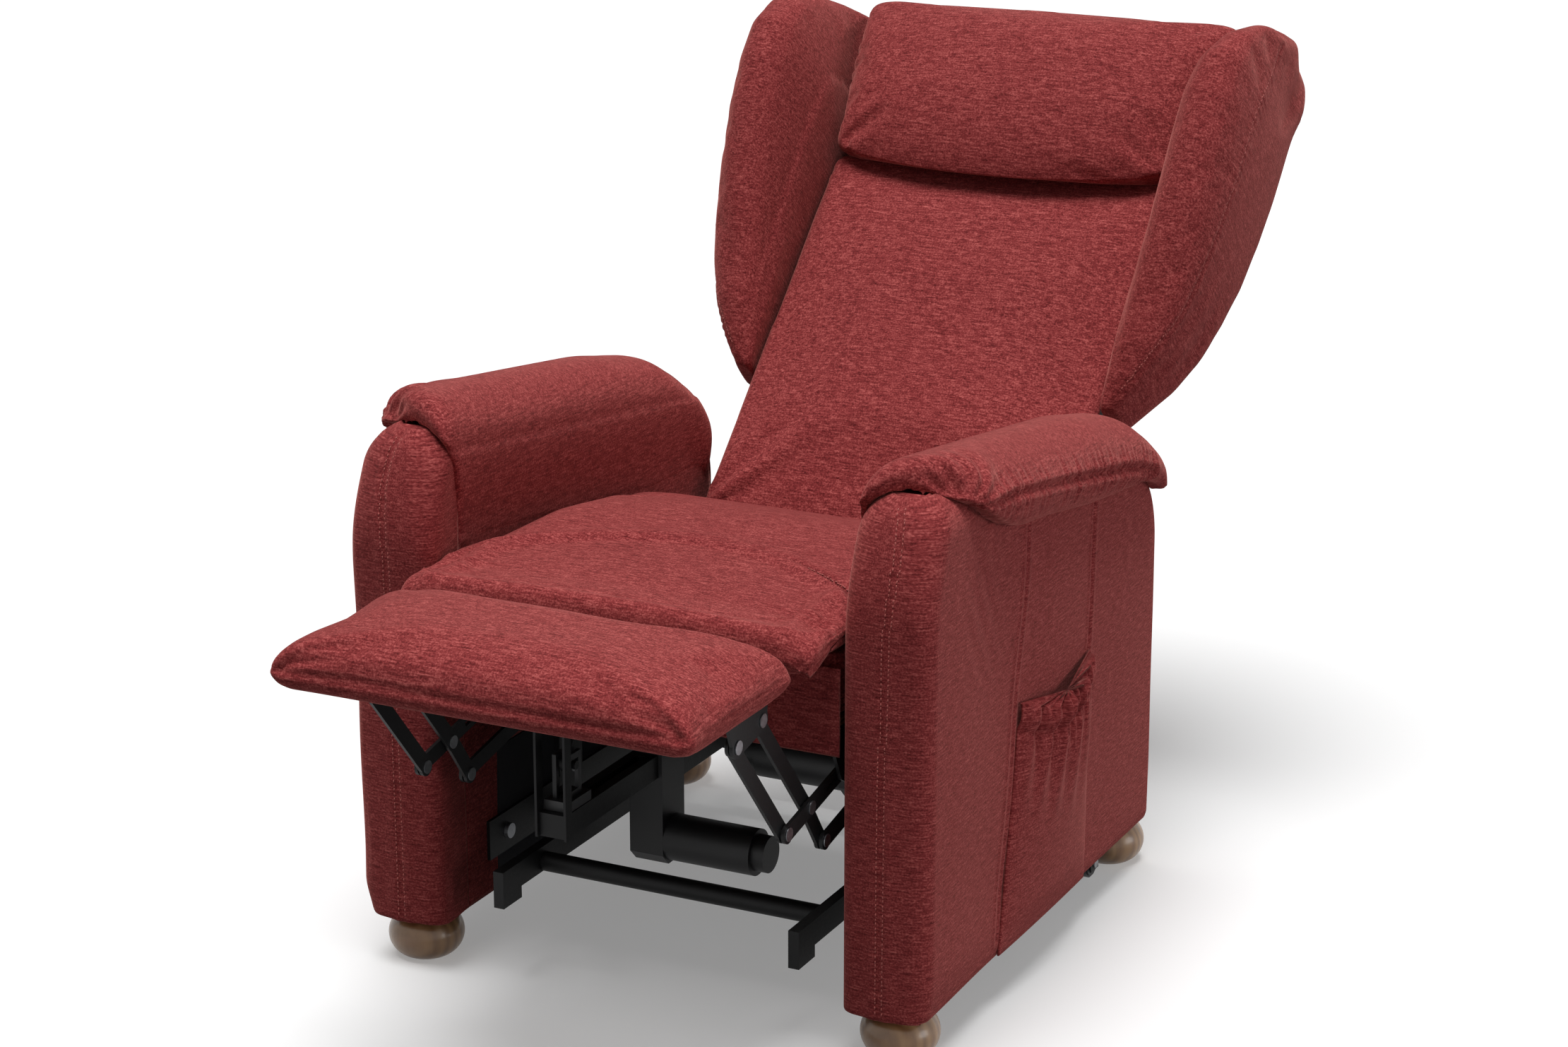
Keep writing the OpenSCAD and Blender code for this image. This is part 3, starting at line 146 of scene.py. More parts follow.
def lofted(name, rings):  # closed skin through equal rings of points
    rings = np.asarray(rings, float)
    m, n = rings.shape[:2]
    faces = [(i * n + j, i * n + (j + 1) % n, (i + 1) * n + (j + 1) % n, (i + 1) * n + j)
             for i in range(m - 1) for j in range(n)]
    points = np.concatenate([rings.reshape(-1, 3), [rings[0].mean(0), rings[-1].mean(0)]])
    faces += [(m * n, (j + 1) % n, j) for j in range(n)]
    faces += [(m * n + 1, (m - 1) * n + j, (m - 1) * n + (j + 1) % n) for j in range(n)]
    piece = newPiece(name, points, faces)
    tidyNormals(piece)
    return piece


def nodeCopy(name, node):
    piece = bpy.data.objects.new(name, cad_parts[node].data.copy())
    scene.collection.objects.link(piece)
    piece.data.materials.clear()
    pick(piece)
    bpy.ops.object.mode_set(mode="EDIT")
    bpy.ops.mesh.select_all(action="SELECT")
    bpy.ops.mesh.remove_doubles(threshold=0.00002)
    bpy.ops.object.mode_set(mode="OBJECT")
    return piece


def applied(piece, kind, **values):
    pick(piece)
    modifier = piece.modifiers.new(kind.title(), kind)
    for key, value in values.items():
        setattr(modifier, key, value)
    bpy.ops.object.modifier_apply(modifier=modifier.name)
    piece.data.polygons.foreach_set("use_smooth", [True] * len(piece.data.polygons))
    return piece


def remeshed(piece, size):
    return applied(piece, "REMESH", mode="VOXEL", voxel_size=size / 1000, use_smooth_shade=True)


def softened(piece, times, factor=0.5):
    return applied(piece, "SMOOTH", iterations=times, factor=factor)


def bowed(values, table):
    return np.interp(values, [a for a, _ in table], [b for _, b in table])


def finer(piece):
    return applied(piece, "SUBSURF", levels=1, render_levels=1)


def mirrored(piece, name):
    copy = bpy.data.objects.new(name, piece.data.copy())
    scene.collection.objects.link(copy)
    copy.data.transform(Matrix.Scale(-1, 4, (1, 0, 0)))
    tidyNormals(copy, 0.001)
    return copy


def curveThrough(points, step=2.0):  # a smooth route through hand-set points
    p = np.asarray(points, float)
    ends = np.vstack([2 * p[0] - p[1], p, 2 * p[-1] - p[-2]])
    out = []
    for i in range(1, len(ends) - 2):
        a, b, c, d = ends[i - 1:i + 3]
        n = max(2, int(np.linalg.norm(c - b) / step))
        for t in np.arange(n) / n:
            out.append(0.5 * (2 * b + (c - a) * t + (2 * a - 5 * b + 4 * c - d) * t * t
                              + (3 * b - a - 3 * c + d) * t ** 3))
    out.append(p[-1])
    return np.array(out)


def nearRoute(p, route, reach):  # which points lie within reach of a route, how far, and where along it
    low, high = route.min(0) - reach, route.max(0) + reach
    near = np.nonzero(((p > low) & (p < high)).all(1))[0]
    tree = KDTree(len(route))
    for i, q in enumerate(route):
        tree.insert(q, i)
    tree.balance()
    found = [tree.find(q)[1:] for q in p[near]]
    along = np.array([f[0] for f in found], int)
    away = np.array([f[1] for f in found])
    keep = away < reach if len(found) else np.zeros(0, bool)
    return near[keep], away[keep], along[keep]


def seam(piece, points, width=5, depth=2.5, lift=0.0):  # a sewn line, drawn in, its sides puffed a little
    route = curveThrough(points)
    p, n = places(piece), outwards(piece)
    near, away, _ = nearRoute(p, route, 3.5 * width)
    sink = depth * np.exp(-(away / width) ** 2) - lift * np.exp(-((away - 2 * width) / width) ** 2)
    p[near] -= n[near] * sink[:, None]
    setPlaces(piece, p)
    return route


# gathers that fan from a sewn line
def puckers(piece, points, pitch, height, reach, side=None, seed=1):
    route = curveThrough(points)
    length = np.concatenate([[0], np.cumsum(np.linalg.norm(np.diff(route, axis=0), axis=1))])
    rng = np.random.default_rng(seed)
    count = int(length[-1] / pitch) + 2
    strength = rng.uniform(0.12, 1.0, count)
    shift = rng.uniform(-0.6, 0.6, count)
    p, n = places(piece), outwards(piece)
    near, away, along = nearRoute(p, route, reach)
    if side is not None:
        keep = side(p[near])
        near, away, along = near[keep], away[keep], along[keep]
    t = length[along] / pitch
    k = np.clip(t.astype(int), 0, count - 1)
    wave = np.cos(2 * math.pi * (t + shift[k] * 0.5)) * strength[k]
    fall = np.clip(away / (0.12 * reach), 0, 1) * (1 - ease(away / reach))
    p[near] += n[near] * (height * wave * fall)[:, None]
    setPlaces(piece, p)


stitchShape = {"length": 3.6, "pitch": 5.4, "radius": 0.75}


# rows of thread laid on a piece's surface; offset moves a row sideways on it
def stitches(name, piece, routes, offset=0.0):
    skin = piece.data
    tree = BVHTree.FromPolygons([v.co for v in skin.vertices], [tuple(f.vertices) for f in skin.polygons])
    half, r = stitchShape["length"] / 2, stitchShape["radius"]
    ring = [(math.cos(a), math.sin(a)) for a in np.arange(5) * 2 * math.pi / 5]
    points, faces = [], []
    for route in routes:
        length = np.concatenate([[0], np.cumsum(np.linalg.norm(np.diff(route, axis=0), axis=1))])
        for d in np.arange(stitchShape["pitch"], length[-1] - stitchShape["pitch"], stitchShape["pitch"]):
            i = min(len(route) - 2, int(np.searchsorted(length, d)))
            run = Vector(route[i + 1] - route[i - 1]).normalized()
            spot, normal, _, _ = tree.find_nearest(at(*route[i]))
            side = run.cross(normal).normalized()
            spot, normal, _, _ = tree.find_nearest(spot + side * offset / 1000)
            run = (run - normal * run.dot(normal)).normalized()
            side = run.cross(normal)
            base = len(points)
            middle = Vector((spot.x * 1000, spot.y * 1000 + midY, spot.z * 1000)) + normal * 0.15
            for along, wide in ((-half, 0.35), (-half * 0.6, 1), (half * 0.6, 1), (half, 0.35)):
                for c, s in ring:
                    points.append(middle + run * along + (side * c + normal * s) * r * wide
                                  - normal * (0.5 if wide < 1 else 0))
            for k in range(3):
                for j in range(5):
                    faces.append((base + 5 * k + j, base + 5 * k + (j + 1) % 5,
                                  base + 5 * k + 5 + (j + 1) % 5, base + 5 * k + 5 + j))
            faces.append(tuple(base + j for j in (4, 3, 2, 1, 0)))
            faces.append(tuple(base + 15 + j for j in range(5)))
    thread = newPiece(name, points, faces)
    tidyNormals(thread)
    return thread


# finishes

def colour(r, g, b):  # as seen on screen, 0 to 255
    return tuple(((v / 255 + 0.055) / 1.055) ** 2.4 if v > 10 else v / 255 / 12.92 for v in (r, g, b)) + (1,)


def newFinish(name):
    finish = bpy.data.materials.new(name)
    finish.use_nodes = True
    nodes, links = finish.node_tree.nodes, finish.node_tree.links
    nodes.clear()
    out = nodes.new("ShaderNodeOutputMaterial")
    shader = nodes.new("ShaderNodeBsdfPrincipled")
    links.new(shader.outputs["BSDF"], out.inputs["Surface"])
    return finish, nodes, links, shader


def spread(nodes, links, scale, turn=(0, 0, 0), source="Object"):
    where = nodes.new("ShaderNodeTexCoord")
    turned = nodes.new("ShaderNodeMapping")
    turned.inputs["Rotation"].default_value = turn
    stretched = nodes.new("ShaderNodeMapping")
    stretched.inputs["Scale"].default_value = scale
    links.new(where.outputs[source], turned.inputs["Vector"])
    links.new(turned.outputs["Vector"], stretched.inputs["Vector"])
    return stretched.outputs["Vector"]


def noise(nodes, links, vector, scale=1.0, detail=4.0, rough=0.6):
    n = nodes.new("ShaderNodeTexNoise")
    n.inputs["Scale"].default_value = scale
    n.inputs["Detail"].default_value = detail
    n.inputs["Roughness"].default_value = rough
    links.new(vector, n.inputs["Vector"])
    return n.outputs["Fac"]


def sums(nodes, links, kind, a, b):
    m = nodes.new("ShaderNodeMath")
    m.operation = kind
    for i, v in enumerate((a, b)):
        if isinstance(v, (int, float)):
            m.inputs[i].default_value = v
        else:
            links.new(v, m.inputs[i])
    return m.outputs[0]


def roomRays(nodes, links):  # 1 where a ray from the eye, a gloss or a clear piece sees the room
    path = nodes.new("ShaderNodeLightPath")
    rays = sums(nodes, links, "MAXIMUM", path.outputs["Is Camera Ray"], path.outputs["Is Glossy Ray"])
    return sums(nodes, links, "MAXIMUM", rays, path.outputs["Is Transmission Ray"])


def ramp(nodes, links, value, stops):
    r = nodes.new("ShaderNodeValToRGB")
    while len(r.color_ramp.elements) < len(stops):
        r.color_ramp.elements.new(0.5)
    for e, (place, tint) in zip(r.color_ramp.elements, stops):
        e.position, e.color = place, tint
    links.new(value, r.inputs["Fac"])
    return r.outputs["Color"]


def bumped(nodes, links, shader, height, strength, distance):
    bump = nodes.new("ShaderNodeBump")
    bump.inputs["Strength"].default_value = strength
    bump.inputs["Distance"].default_value = distance
    links.new(height, bump.inputs["Height"])
    links.new(bump.outputs["Normal"], shader.inputs["Normal"])


chenille = {
    "dark": (85, 23, 25), "middle": (137, 52, 53), "light": (192, 99, 95),
    "slub": (54, 460, 460), "grain": 470, "patch": 150,
    "rough": 0.9, "sheen": 0.6, "sheenRough": 0.4, "sheenTint": (232, 152, 142),
}


def clothFinish(name, turn=(0, 0, 0), source="Object", shade=1.0, look=chenille):
    finish, nodes, links, shader = newFinish(name)
    across = noise(nodes, links, spread(nodes, links, look["slub"], turn, source), 1, 5, 0.7)
    if source == "Object":  # on faces that look sideways the thick threads run to the rear
        a, b, c = look["slub"]
        side = noise(nodes, links, spread(nodes, links, (b, a, c), turn, source), 1, 5, 0.7)
        facing = nodes.new("ShaderNodeTexCoord")
        apart = nodes.new("ShaderNodeSeparateXYZ")
        links.new(facing.outputs["Normal"], apart.inputs[0])
        sideways = sums(nodes, links, "ABSOLUTE", apart.outputs[0], 0)
        choose = nodes.new("ShaderNodeMapRange")
        choose.inputs["From Min"].default_value = 0.62
        choose.inputs["From Max"].default_value = 0.80
        links.new(sideways, choose.inputs["Value"])
        blend = nodes.new("ShaderNodeMix")
        links.new(choose.outputs[0], blend.inputs[0])
        links.new(across, blend.inputs[2])
        links.new(side, blend.inputs[3])
        across = blend.outputs[0]
    grain = noise(nodes, links, spread(nodes, links, (1, 1, 1), turn, source), look["grain"], 3, 0.6)
    patch = noise(nodes, links, spread(nodes, links, (1, 1, 1), turn, source), look["patch"], 3, 0.5)
    mixed = sums(nodes, links, "ADD", sums(nodes, links, "MULTIPLY", across, 0.46),
                 sums(nodes, links, "MULTIPLY", grain, 0.42))
    mixed = sums(nodes, links, "ADD", mixed, sums(nodes, links, "MULTIPLY", patch, 0.12))
    tint = [tuple(v * shade for v in colour(*look[k])[:3]) + (1,) for k in ("dark", "middle", "light")]
    links.new(ramp(nodes, links, mixed, [(0.38, tint[0]), (0.5, tint[1]), (0.63, tint[2])]),
              shader.inputs["Base Color"])
    shader.inputs["Roughness"].default_value = look["rough"]
    shader.inputs["Specular IOR Level"].default_value = 0.12
    shader.inputs["Sheen Weight"].default_value = look["sheen"]
    shader.inputs["Sheen Roughness"].default_value = look["sheenRough"]
    shader.inputs["Sheen Tint"].default_value = colour(*look["sheenTint"])
    bumped(nodes, links, shader, mixed, 0.8, 0.0011)
    return finish


def plainFinish(name, base, rough, metal=0.0, grain=400, depth=0.0002, vary=0.12, source="Object",
                scale=(1, 1, 1), coat=0.0, specular=0.5):
    finish, nodes, links, shader = newFinish(name)
    height = noise(nodes, links, spread(nodes, links, scale, source=source), grain, 4, 0.6)
    low = tuple(v * (1 - vary) for v in colour(*base)[:3]) + (1,)
    high = tuple(min(1, v * (1 + vary)) for v in colour(*base)[:3]) + (1,)
    links.new(ramp(nodes, links, height, [(0.3, low), (0.7, high)]), shader.inputs["Base Color"])
    rub = nodes.new("ShaderNodeMapRange")
    rub.inputs["To Min"].default_value = max(0, rough - 0.1)
    rub.inputs["To Max"].default_value = min(1, rough + 0.1)
    links.new(height, rub.inputs["Value"])
    links.new(rub.outputs[0], shader.inputs["Roughness"])
    shader.inputs["Metallic"].default_value = metal
    shader.inputs["Specular IOR Level"].default_value = specular
    shader.inputs["Coat Weight"].default_value = coat
    shader.inputs["Coat Roughness"].default_value = 0.25
    bumped(nodes, links, shader, height, 0.3, depth)
    return finish


def woodFinish(name, dark, middle, light, stretch, rough, coat):
    finish, nodes, links, shader = newFinish(name)
    vector = spread(nodes, links, stretch)
    wave = nodes.new("ShaderNodeTexWave")
    wave.wave_type, wave.bands_direction = "RINGS", "Y"
    wave.inputs["Scale"].default_value = 1.0
    wave.inputs["Distortion"].default_value = 4.0
    wave.inputs["Detail"].default_value = 3
    wave.inputs["Detail Scale"].default_value = 1.6
    links.new(vector, wave.inputs["Vector"])
    pores = noise(nodes, links, vector, 14, 5, 0.7)
    mixed = sums(nodes, links, "ADD", sums(nodes, links, "MULTIPLY", wave.outputs["Fac"], 0.65),
                 sums(nodes, links, "MULTIPLY", pores, 0.35))
    links.new(ramp(nodes, links, mixed, [(0.15, colour(*dark)), (0.5, colour(*middle)), (0.85, colour(*light))]),
              shader.inputs["Base Color"])
    shader.inputs["Roughness"].default_value = rough
    shader.inputs["Coat Weight"].default_value = coat
    shader.inputs["Coat Roughness"].default_value = 0.2
    bumped(nodes, links, shader, pores, 0.2, 0.0002)
    return finish


backTurn = (chairBack["lean"], 0, 0)
finishes = {
    "cloth": clothFinish("redChenille"),
    "backCloth": clothFinish("redChenilleBack", turn=backTurn),
    "armCloth": clothFinish("redChenilleArm", source="UV"),
    # the rear cover's cloth is the same chenille painted 8 per cent darker: painted shade
    "rearShadedCloth": clothFinish("redChenilleRearShaded", turn=backTurn, shade=0.92),
    "thread": plainFinish("sewingThread", (168, 88, 82), 0.7, grain=900, vary=0.25),
    "lining": plainFinish("charcoalLining", (38, 38, 41), 0.95, grain=700, depth=0.0004, vary=0.25, specular=0.2),
    "oak": woodFinish("varnishedOak", (132, 94, 58), (152, 112, 72), (168, 128, 86), (26, 26, 5), 0.38, 0.45),
    "beech": woodFinish("beech", (168, 124, 84), (198, 156, 112), (216, 180, 138), (60, 6, 60), 0.6, 0.0),
    "ply": woodFinish("plywood", (162, 124, 84), (188, 150, 106), (206, 172, 130), (8, 8, 140), 0.7, 0.0),
    "blackSteel": plainFinish("blackSteel", (15, 15, 16), 0.5, 0.2, grain=260, vary=0.2, specular=0.25),
    "zinc": plainFinish("zincPlate", (150, 152, 156), 0.34, 1.0, grain=300, vary=0.15),
    "wire": plainFinish("springWire", (92, 94, 98), 0.36, 1.0, grain=300, vary=0.15),
    "plastic": plainFinish("blackPlastic", (20, 20, 22), 0.5, grain=900, vary=0.2, depth=0.00008),
    "lead": plainFinish("leadJacket", (17, 17, 18), 0.45, grain=500, vary=0.2),
    "roller": plainFinish("rollerPlastic", (26, 26, 28), 0.4, grain=700, vary=0.2),
}
nodeFinish = {
    "ply": "arm_frame_left arm_frame_right flap_board footrest_board",
    "lining": "lining_boards rear_rail",
    "oak": "bun_feet",
    "zinc": "foot_bolts mounting_bolts roller_axles plate_bolts lower_rivets flap_hinge_pins "
            "flap_hinge_straps cross_rivets footrest_rivets back_pins",
    "blackSteel": "base_rails cross_tubes side_plates roller_brackets seat_plates drive_rails drive_links "
                  "drive_tube lower_links cross_links footrest_links footrest_brackets rear_carrier "
                  "back_brackets",
    "roller": "roller_left roller_right",
    "beech": "seat_frame back_frame",
    "wire": "seat_springs back_springs",
    "plastic": "gear_housings motors control_box footrest_slider back_slider",
    "lead": "motor_leads",
}
for finishName, nodeNames in nodeFinish.items():
    for nodeName in nodeNames.split():
        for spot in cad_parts[nodeName].material_slots:
            spot.material = finishes[finishName]


def dress(piece, finish, body=None):
    piece.data.materials.clear()
    piece.data.materials.append(finishes[finish])
    if body:
        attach(piece, body)
    return piece


print("finishes ready")

# swelling of the padded pieces

swelling = []
cloth = {"steps": 20, "quality": 4, "mass": 0.3, "stretch": 12, "shear": 5}


def swellLater(piece, held, shrink, cap, bending, pressure):  # held marks the points on wood or sewn down
    swelling.append((piece, held, shrink, cap, bending, pressure))


def swellNow(s=cloth):
    started = []
    for piece, held, shrink, cap, bending, pressure in swelling:
        p = places(piece)
        fixed = held(p)
        full = p.copy()
        p[~fixed] -= outwards(piece)[~fixed] * shrink
        setPlaces(piece, p)
        group = piece.vertex_groups.new(name="held")
        group.add(np.nonzero(fixed)[0].tolist(), 1.0, "REPLACE")
        skin = piece.modifiers.new("Cloth", "CLOTH")
        skin.settings.quality = s["quality"]
        skin.settings.mass = s["mass"]
        skin.settings.tension_stiffness = skin.settings.compression_stiffness = s["stretch"]
        skin.settings.shear_stiffness = s["shear"]
        skin.settings.bending_stiffness = bending
        skin.settings.use_pressure = True
        skin.settings.uniform_pressure_force = pressure
        skin.settings.effector_weights.gravity = 0
        skin.settings.vertex_group_mass = "held"
        skin.collision_settings.use_collision = False
        skin.point_cache.frame_start, skin.point_cache.frame_end = 1, s["steps"]
        started.append((piece, full, cap))
    for step in range(1, s["steps"] + 1):
        scene.frame_set(step)
    ready = bpy.context.evaluated_depsgraph_get()
    for piece, full, cap in started:
        co = np.empty(len(full) * 3)
        piece.evaluated_get(ready).data.vertices.foreach_get("co", co)
        move = co.reshape(-1, 3) * 1000 + (0, midY, 0) - full
        far = np.linalg.norm(move, axis=1)
        grown = full + move * np.minimum(1, cap / np.maximum(far, 1e-9))[:, None]
        piece.modifiers.remove(piece.modifiers["Cloth"])
        piece.vertex_groups.clear()
        setPlaces(piece, grown)
        print("swelled", piece.name, "by at most", round(float(far.max()), 1), "mm")
    scene.frame_set(1)


# arm covers: cloth round the front, the outer side and the rear of each arm

armCover = {
    "capEnd": 67, "rear": 676, "foot": 57, "dome": 633, "domeRound": 26,
    "bulge": 4.5, "sideBulge": 3.5, "corner": 5.0,
    "frontSeam": [(299, 61), (300, 200), (302, 360), (305, 480), (310, 545), (312, 585), (308, 612), (304, 626)],
    "sideSeam": [(198, 80), (222, 225), (245, 372), (262, 470), (270, 552)],
    "rearSeam": [(455, 345), (460, 420), (466, 480), (470, 528)],
}


def armCoverPlan(ri, ro, s=armCover):
    inner, outer = arm["inner"], arm["outer"]
    plan = [(inner, y) for y in np.linspace(s["capEnd"], 47, 7)]
    plan += [(inner, y) for y in np.linspace(46, ri, 5)[:-1]]
    plan += [(inner + ri + ri * math.cos(a), ri + ri * math.sin(a))
             for a in np.linspace(math.pi, 1.5 * math.pi, 18)]
    plan += [(x, 0) for x in np.linspace(inner + ri, outer - ro, 14)[1:-1]]
    plan += [(outer - ro + ro * math.cos(a), ro + ro * math.sin(a))
             for a in np.linspace(1.5 * math.pi, 2 * math.pi, 22)]
    sides = np.concatenate([np.linspace(ro, 188, 44)[1:], np.arange(190, 278, 2.2), np.arange(280, 440, 3.6),
                            np.arange(442, 476, 2.2), np.arange(478, s["rear"] - 8, 3.6)])
    plan += [(outer, y) for y in sides]
    plan += [(outer - 8 + 8 * math.cos(a), s["rear"] - 8 + 8 * math.sin(a)) for a in np.linspace(0, math.pi / 2, 6)]
    plan += [(x, s["rear"]) for x in np.linspace(336, 259, 18)]
    return np.array(plan + [(inner + 0.2, s["rear"] - 1), (inner + 0.2, s["rear"] - 3.2)], float)


def weaveOn(piece, run, height):  # lays the cloth's own directions on a piece, in millimetres
    layer = piece.data.uv_layers.new(name="weave")
    corner = np.empty(len(piece.data.loops), int)
    piece.data.loops.foreach_get("vertex_index", corner)
    layer.data.foreach_set("uv", np.column_stack([run, height])[corner].ravel() / 1000)


def buildArmCover(name, side, s=armCover):
    slim, full = armCoverPlan(17, 20), armCoverPlan(34, 34)
    lining = np.array([(257.5, 672.8), (300, 672.6), (340.8, 672.6), (340.8, 500), (340.8, 300), (340.8, 150),
                       (340.7, 60), (340.5, 13.2), (322, 13.2), (301.5, 13.2), (280, 13.2), (257.6, 13.2),
                       (257.5, 36), (257.5, s["capEnd"] - 1)])
    run = np.concatenate([[0], np.cumsum(np.linalg.norm(np.diff(slim, axis=0), axis=1))])
    length = np.concatenate([run, np.linspace(run[-1] + 10, run[-1] + 60, len(lining))])
    onCloth = np.arange(len(length)) < len(run)
    home = np.concatenate([slim, lining])
    top = s["dome"] + (armTop(home[:, 1]) - 1 - s["dome"]) * ease((home[:, 1] - 72) / 48)
    rows = []
    for v in np.concatenate([[0, 0.0025, 0.006, 0.011], np.arange(1, 165) / 165 * 0.985 + 0.015]):
        z = s["foot"] + v * (top - s["foot"])
        wide = ease((z[onCloth] - 470) / 150)[:, None]
        x, y = np.concatenate([slim * (1 - wide) + full * wide, lining]).T.copy()
        y -= onCloth * s["bulge"] * np.cos(np.clip((x - arm["middle"]) / 47.5, -1, 1) * math.pi / 2) ** 2 * (y < 48)
        outer = onCloth * ease((x - 318) / 31) * ease((z - 50) / 50)
        x += outer * (s["corner"] + (1 - side) * 2.5) * ease((230 - y) / 170)
        x -= onCloth * ease((285 - x) / 31) * 3.3 * ease((66 - y) / 40)
        x += outer * s["sideBulge"] * (0.6 * np.exp(-((y - 350) / 90) ** 2) + 0.5 * np.exp(-((y - 575) / 80) ** 2))
        turn = 5 + 10 * ease((y - 20) / 180)  # the lower edge turns under
        inset = onCloth * (1 - np.sqrt(1 - np.clip((s["foot"] + turn - z) / turn, 0, 1) ** 2))
        x -= inset * 7.0 * (x > 343)
        y += inset * 4.5 * (y < 20) - inset * 2.0 * (y > 674)
        f = np.sqrt(np.clip(47.5 ** 2 - np.clip(z - 587, 0, 47.3) ** 2, 0, None)) / 47.5
        x = arm["middle"] + (x - arm["middle"]) * f
        up = np.clip(z - (s["dome"] + 1 - s["domeRound"]), 0, s["domeRound"])
        y += (s["domeRound"] - np.sqrt(s["domeRound"] ** 2 - up ** 2)) * (1 - ease((y - 20) / 70))
        y += lean(z) * (1 - ease((y - 10) / 130))
        rear = 562 + np.sqrt(np.clip(114 ** 2 - np.clip(z - 417, 0, 113) ** 2, 0, None))  # over the rear corner
        y = np.where(y > 480, 480 + (y - 480) * (rear - 480) / 196, y)
        rows.append(np.column_stack([x * side, y, z]))
    piece = lofted(name, rows)
    p = places(piece)  # the cloth's own run and height, for its weave
    tree = KDTree(len(length) * len(rows))
    for i, row in enumerate(rows):
        for j, q in enumerate(row):
            tree.insert(q, i * len(length) + j)
    tree.balance()
    spots = np.array([length[tree.find(q)[1] % len(length)] for q in p])
    weaveOn(piece, spots, p[:, 2])
    front = [(x * side, -s["bulge"] + lean(z) + 26 - math.sqrt(26 ** 2 - max(0, z - 608) ** 2), z)
             for x, z in s["frontSeam"]]
    routes = {"front": seam(piece, front, 4.0, 2.0, 0.8)}
    routes["side"] = seam(piece, [(353 * side, y, z) for y, z in s["sideSeam"]], 3.6, 2.4, 0.9)
    routes["rear"] = seam(piece, [(350 * side, y, z) for y, z in s["rearSeam"]], 3.6, 2.2, 0.8)
    puckers(piece, front, 12, 0.5, 24, seed=5)
    p, n = places(piece), outwards(piece)  # soft unevenness of the padding
    slow = (np.sin(p[:, 1] / 61 + p[:, 2] / 97) * np.cos(p[:, 2] / 73 - p[:, 0] / 41)
            + 0.6 * np.sin(p[:, 2] / 37 + p[:, 1] / 143))
    outer = ease((np.abs(p[:, 0]) - 342) / 5) * ease((p[:, 2] - 80) / 60)
    under = np.exp(-((p[:, 1] - 150) / 45) ** 2) * np.exp(-((p[:, 2] - 500) / 90) ** 2)
    p += n * (slow * outer * 1.0 - 0.5 * outer * under * np.cos(p[:, 1] / 6 + p[:, 2] / 9))[:, None]
    setPlaces(piece, p)
    return piece, routes


for sideName, side in (("Right", 1), ("Left", -1)):
    cover, routes = buildArmCover("armCover" + sideName, side)
    low = "right" if side > 0 else "left"
    dress(cover, "armCloth", "chassis")
    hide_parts("arm_front_" + low, "side_panel_" + low)
    for row in (-4.5, 4.5):
        thread = stitches("armFrontStitch" + sideName + ("A" if row < 0 else "B"), cover, [routes["front"]], row)
        dress(thread, "thread", "chassis")
print("arm covers ready")

# inner sides of the arms

innerSide = {"front": 67.6, "rear": 672, "wall": 3.3, "step": 5, "cutFrom": 136, "cutUnder": 230}


def buildInnerSide(name, side, s=innerSide):
    faceX, backX = arm["inner"] + 0.2, arm["inner"] + s["wall"]
    turnY = 562
    turnZ = armTop(turnY) - 110 / math.cos(math.radians(7.3))
    rows = []
    for y in np.concatenate([np.arange(s["front"], s["rear"], s["step"]), [s["rear"]]]):
        low = 57 + (s["cutUnder"] - 56) * float(ease((y - s["cutFrom"] + 4) / 6))
        high = armTop(y) - 1.5
        if y > turnY + 14:
            high = min(high, turnZ + math.sqrt(max(0, 110 ** 2 - (y - turnY) ** 2)) - 1.5)
        zs = low + (max(high, low + 20) - low) * np.linspace(0, 1, 90)
        rows.append([(faceX * side, y, z) for z in zs] + [(backX * side, y, z) for z in zs[::-9]])
    return lofted(name, rows)


for sideName, side in (("Right", 1), ("Left", -1)):
    panel = buildInnerSide("innerSide" + sideName, side)
    puckers(panel, [(arm["inner"] * side, 66, z) for z in (470, 510, 550, 590)], 24, 2.2, 46, seed=8)
    dress(panel, "cloth", "chassis")
    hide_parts("inner_panel_" + ("right" if side > 0 else "left"))
print("inner sides ready")

# side pocket: a gathered sheet with an elastic hem

pocket = {"wall": 349.6, "front": 252, "rear": 456, "slant": 50, "foot": 62, "top": 345, "room": 19, "thick": 2.2,
          "folds": 5, "gathers": 15}


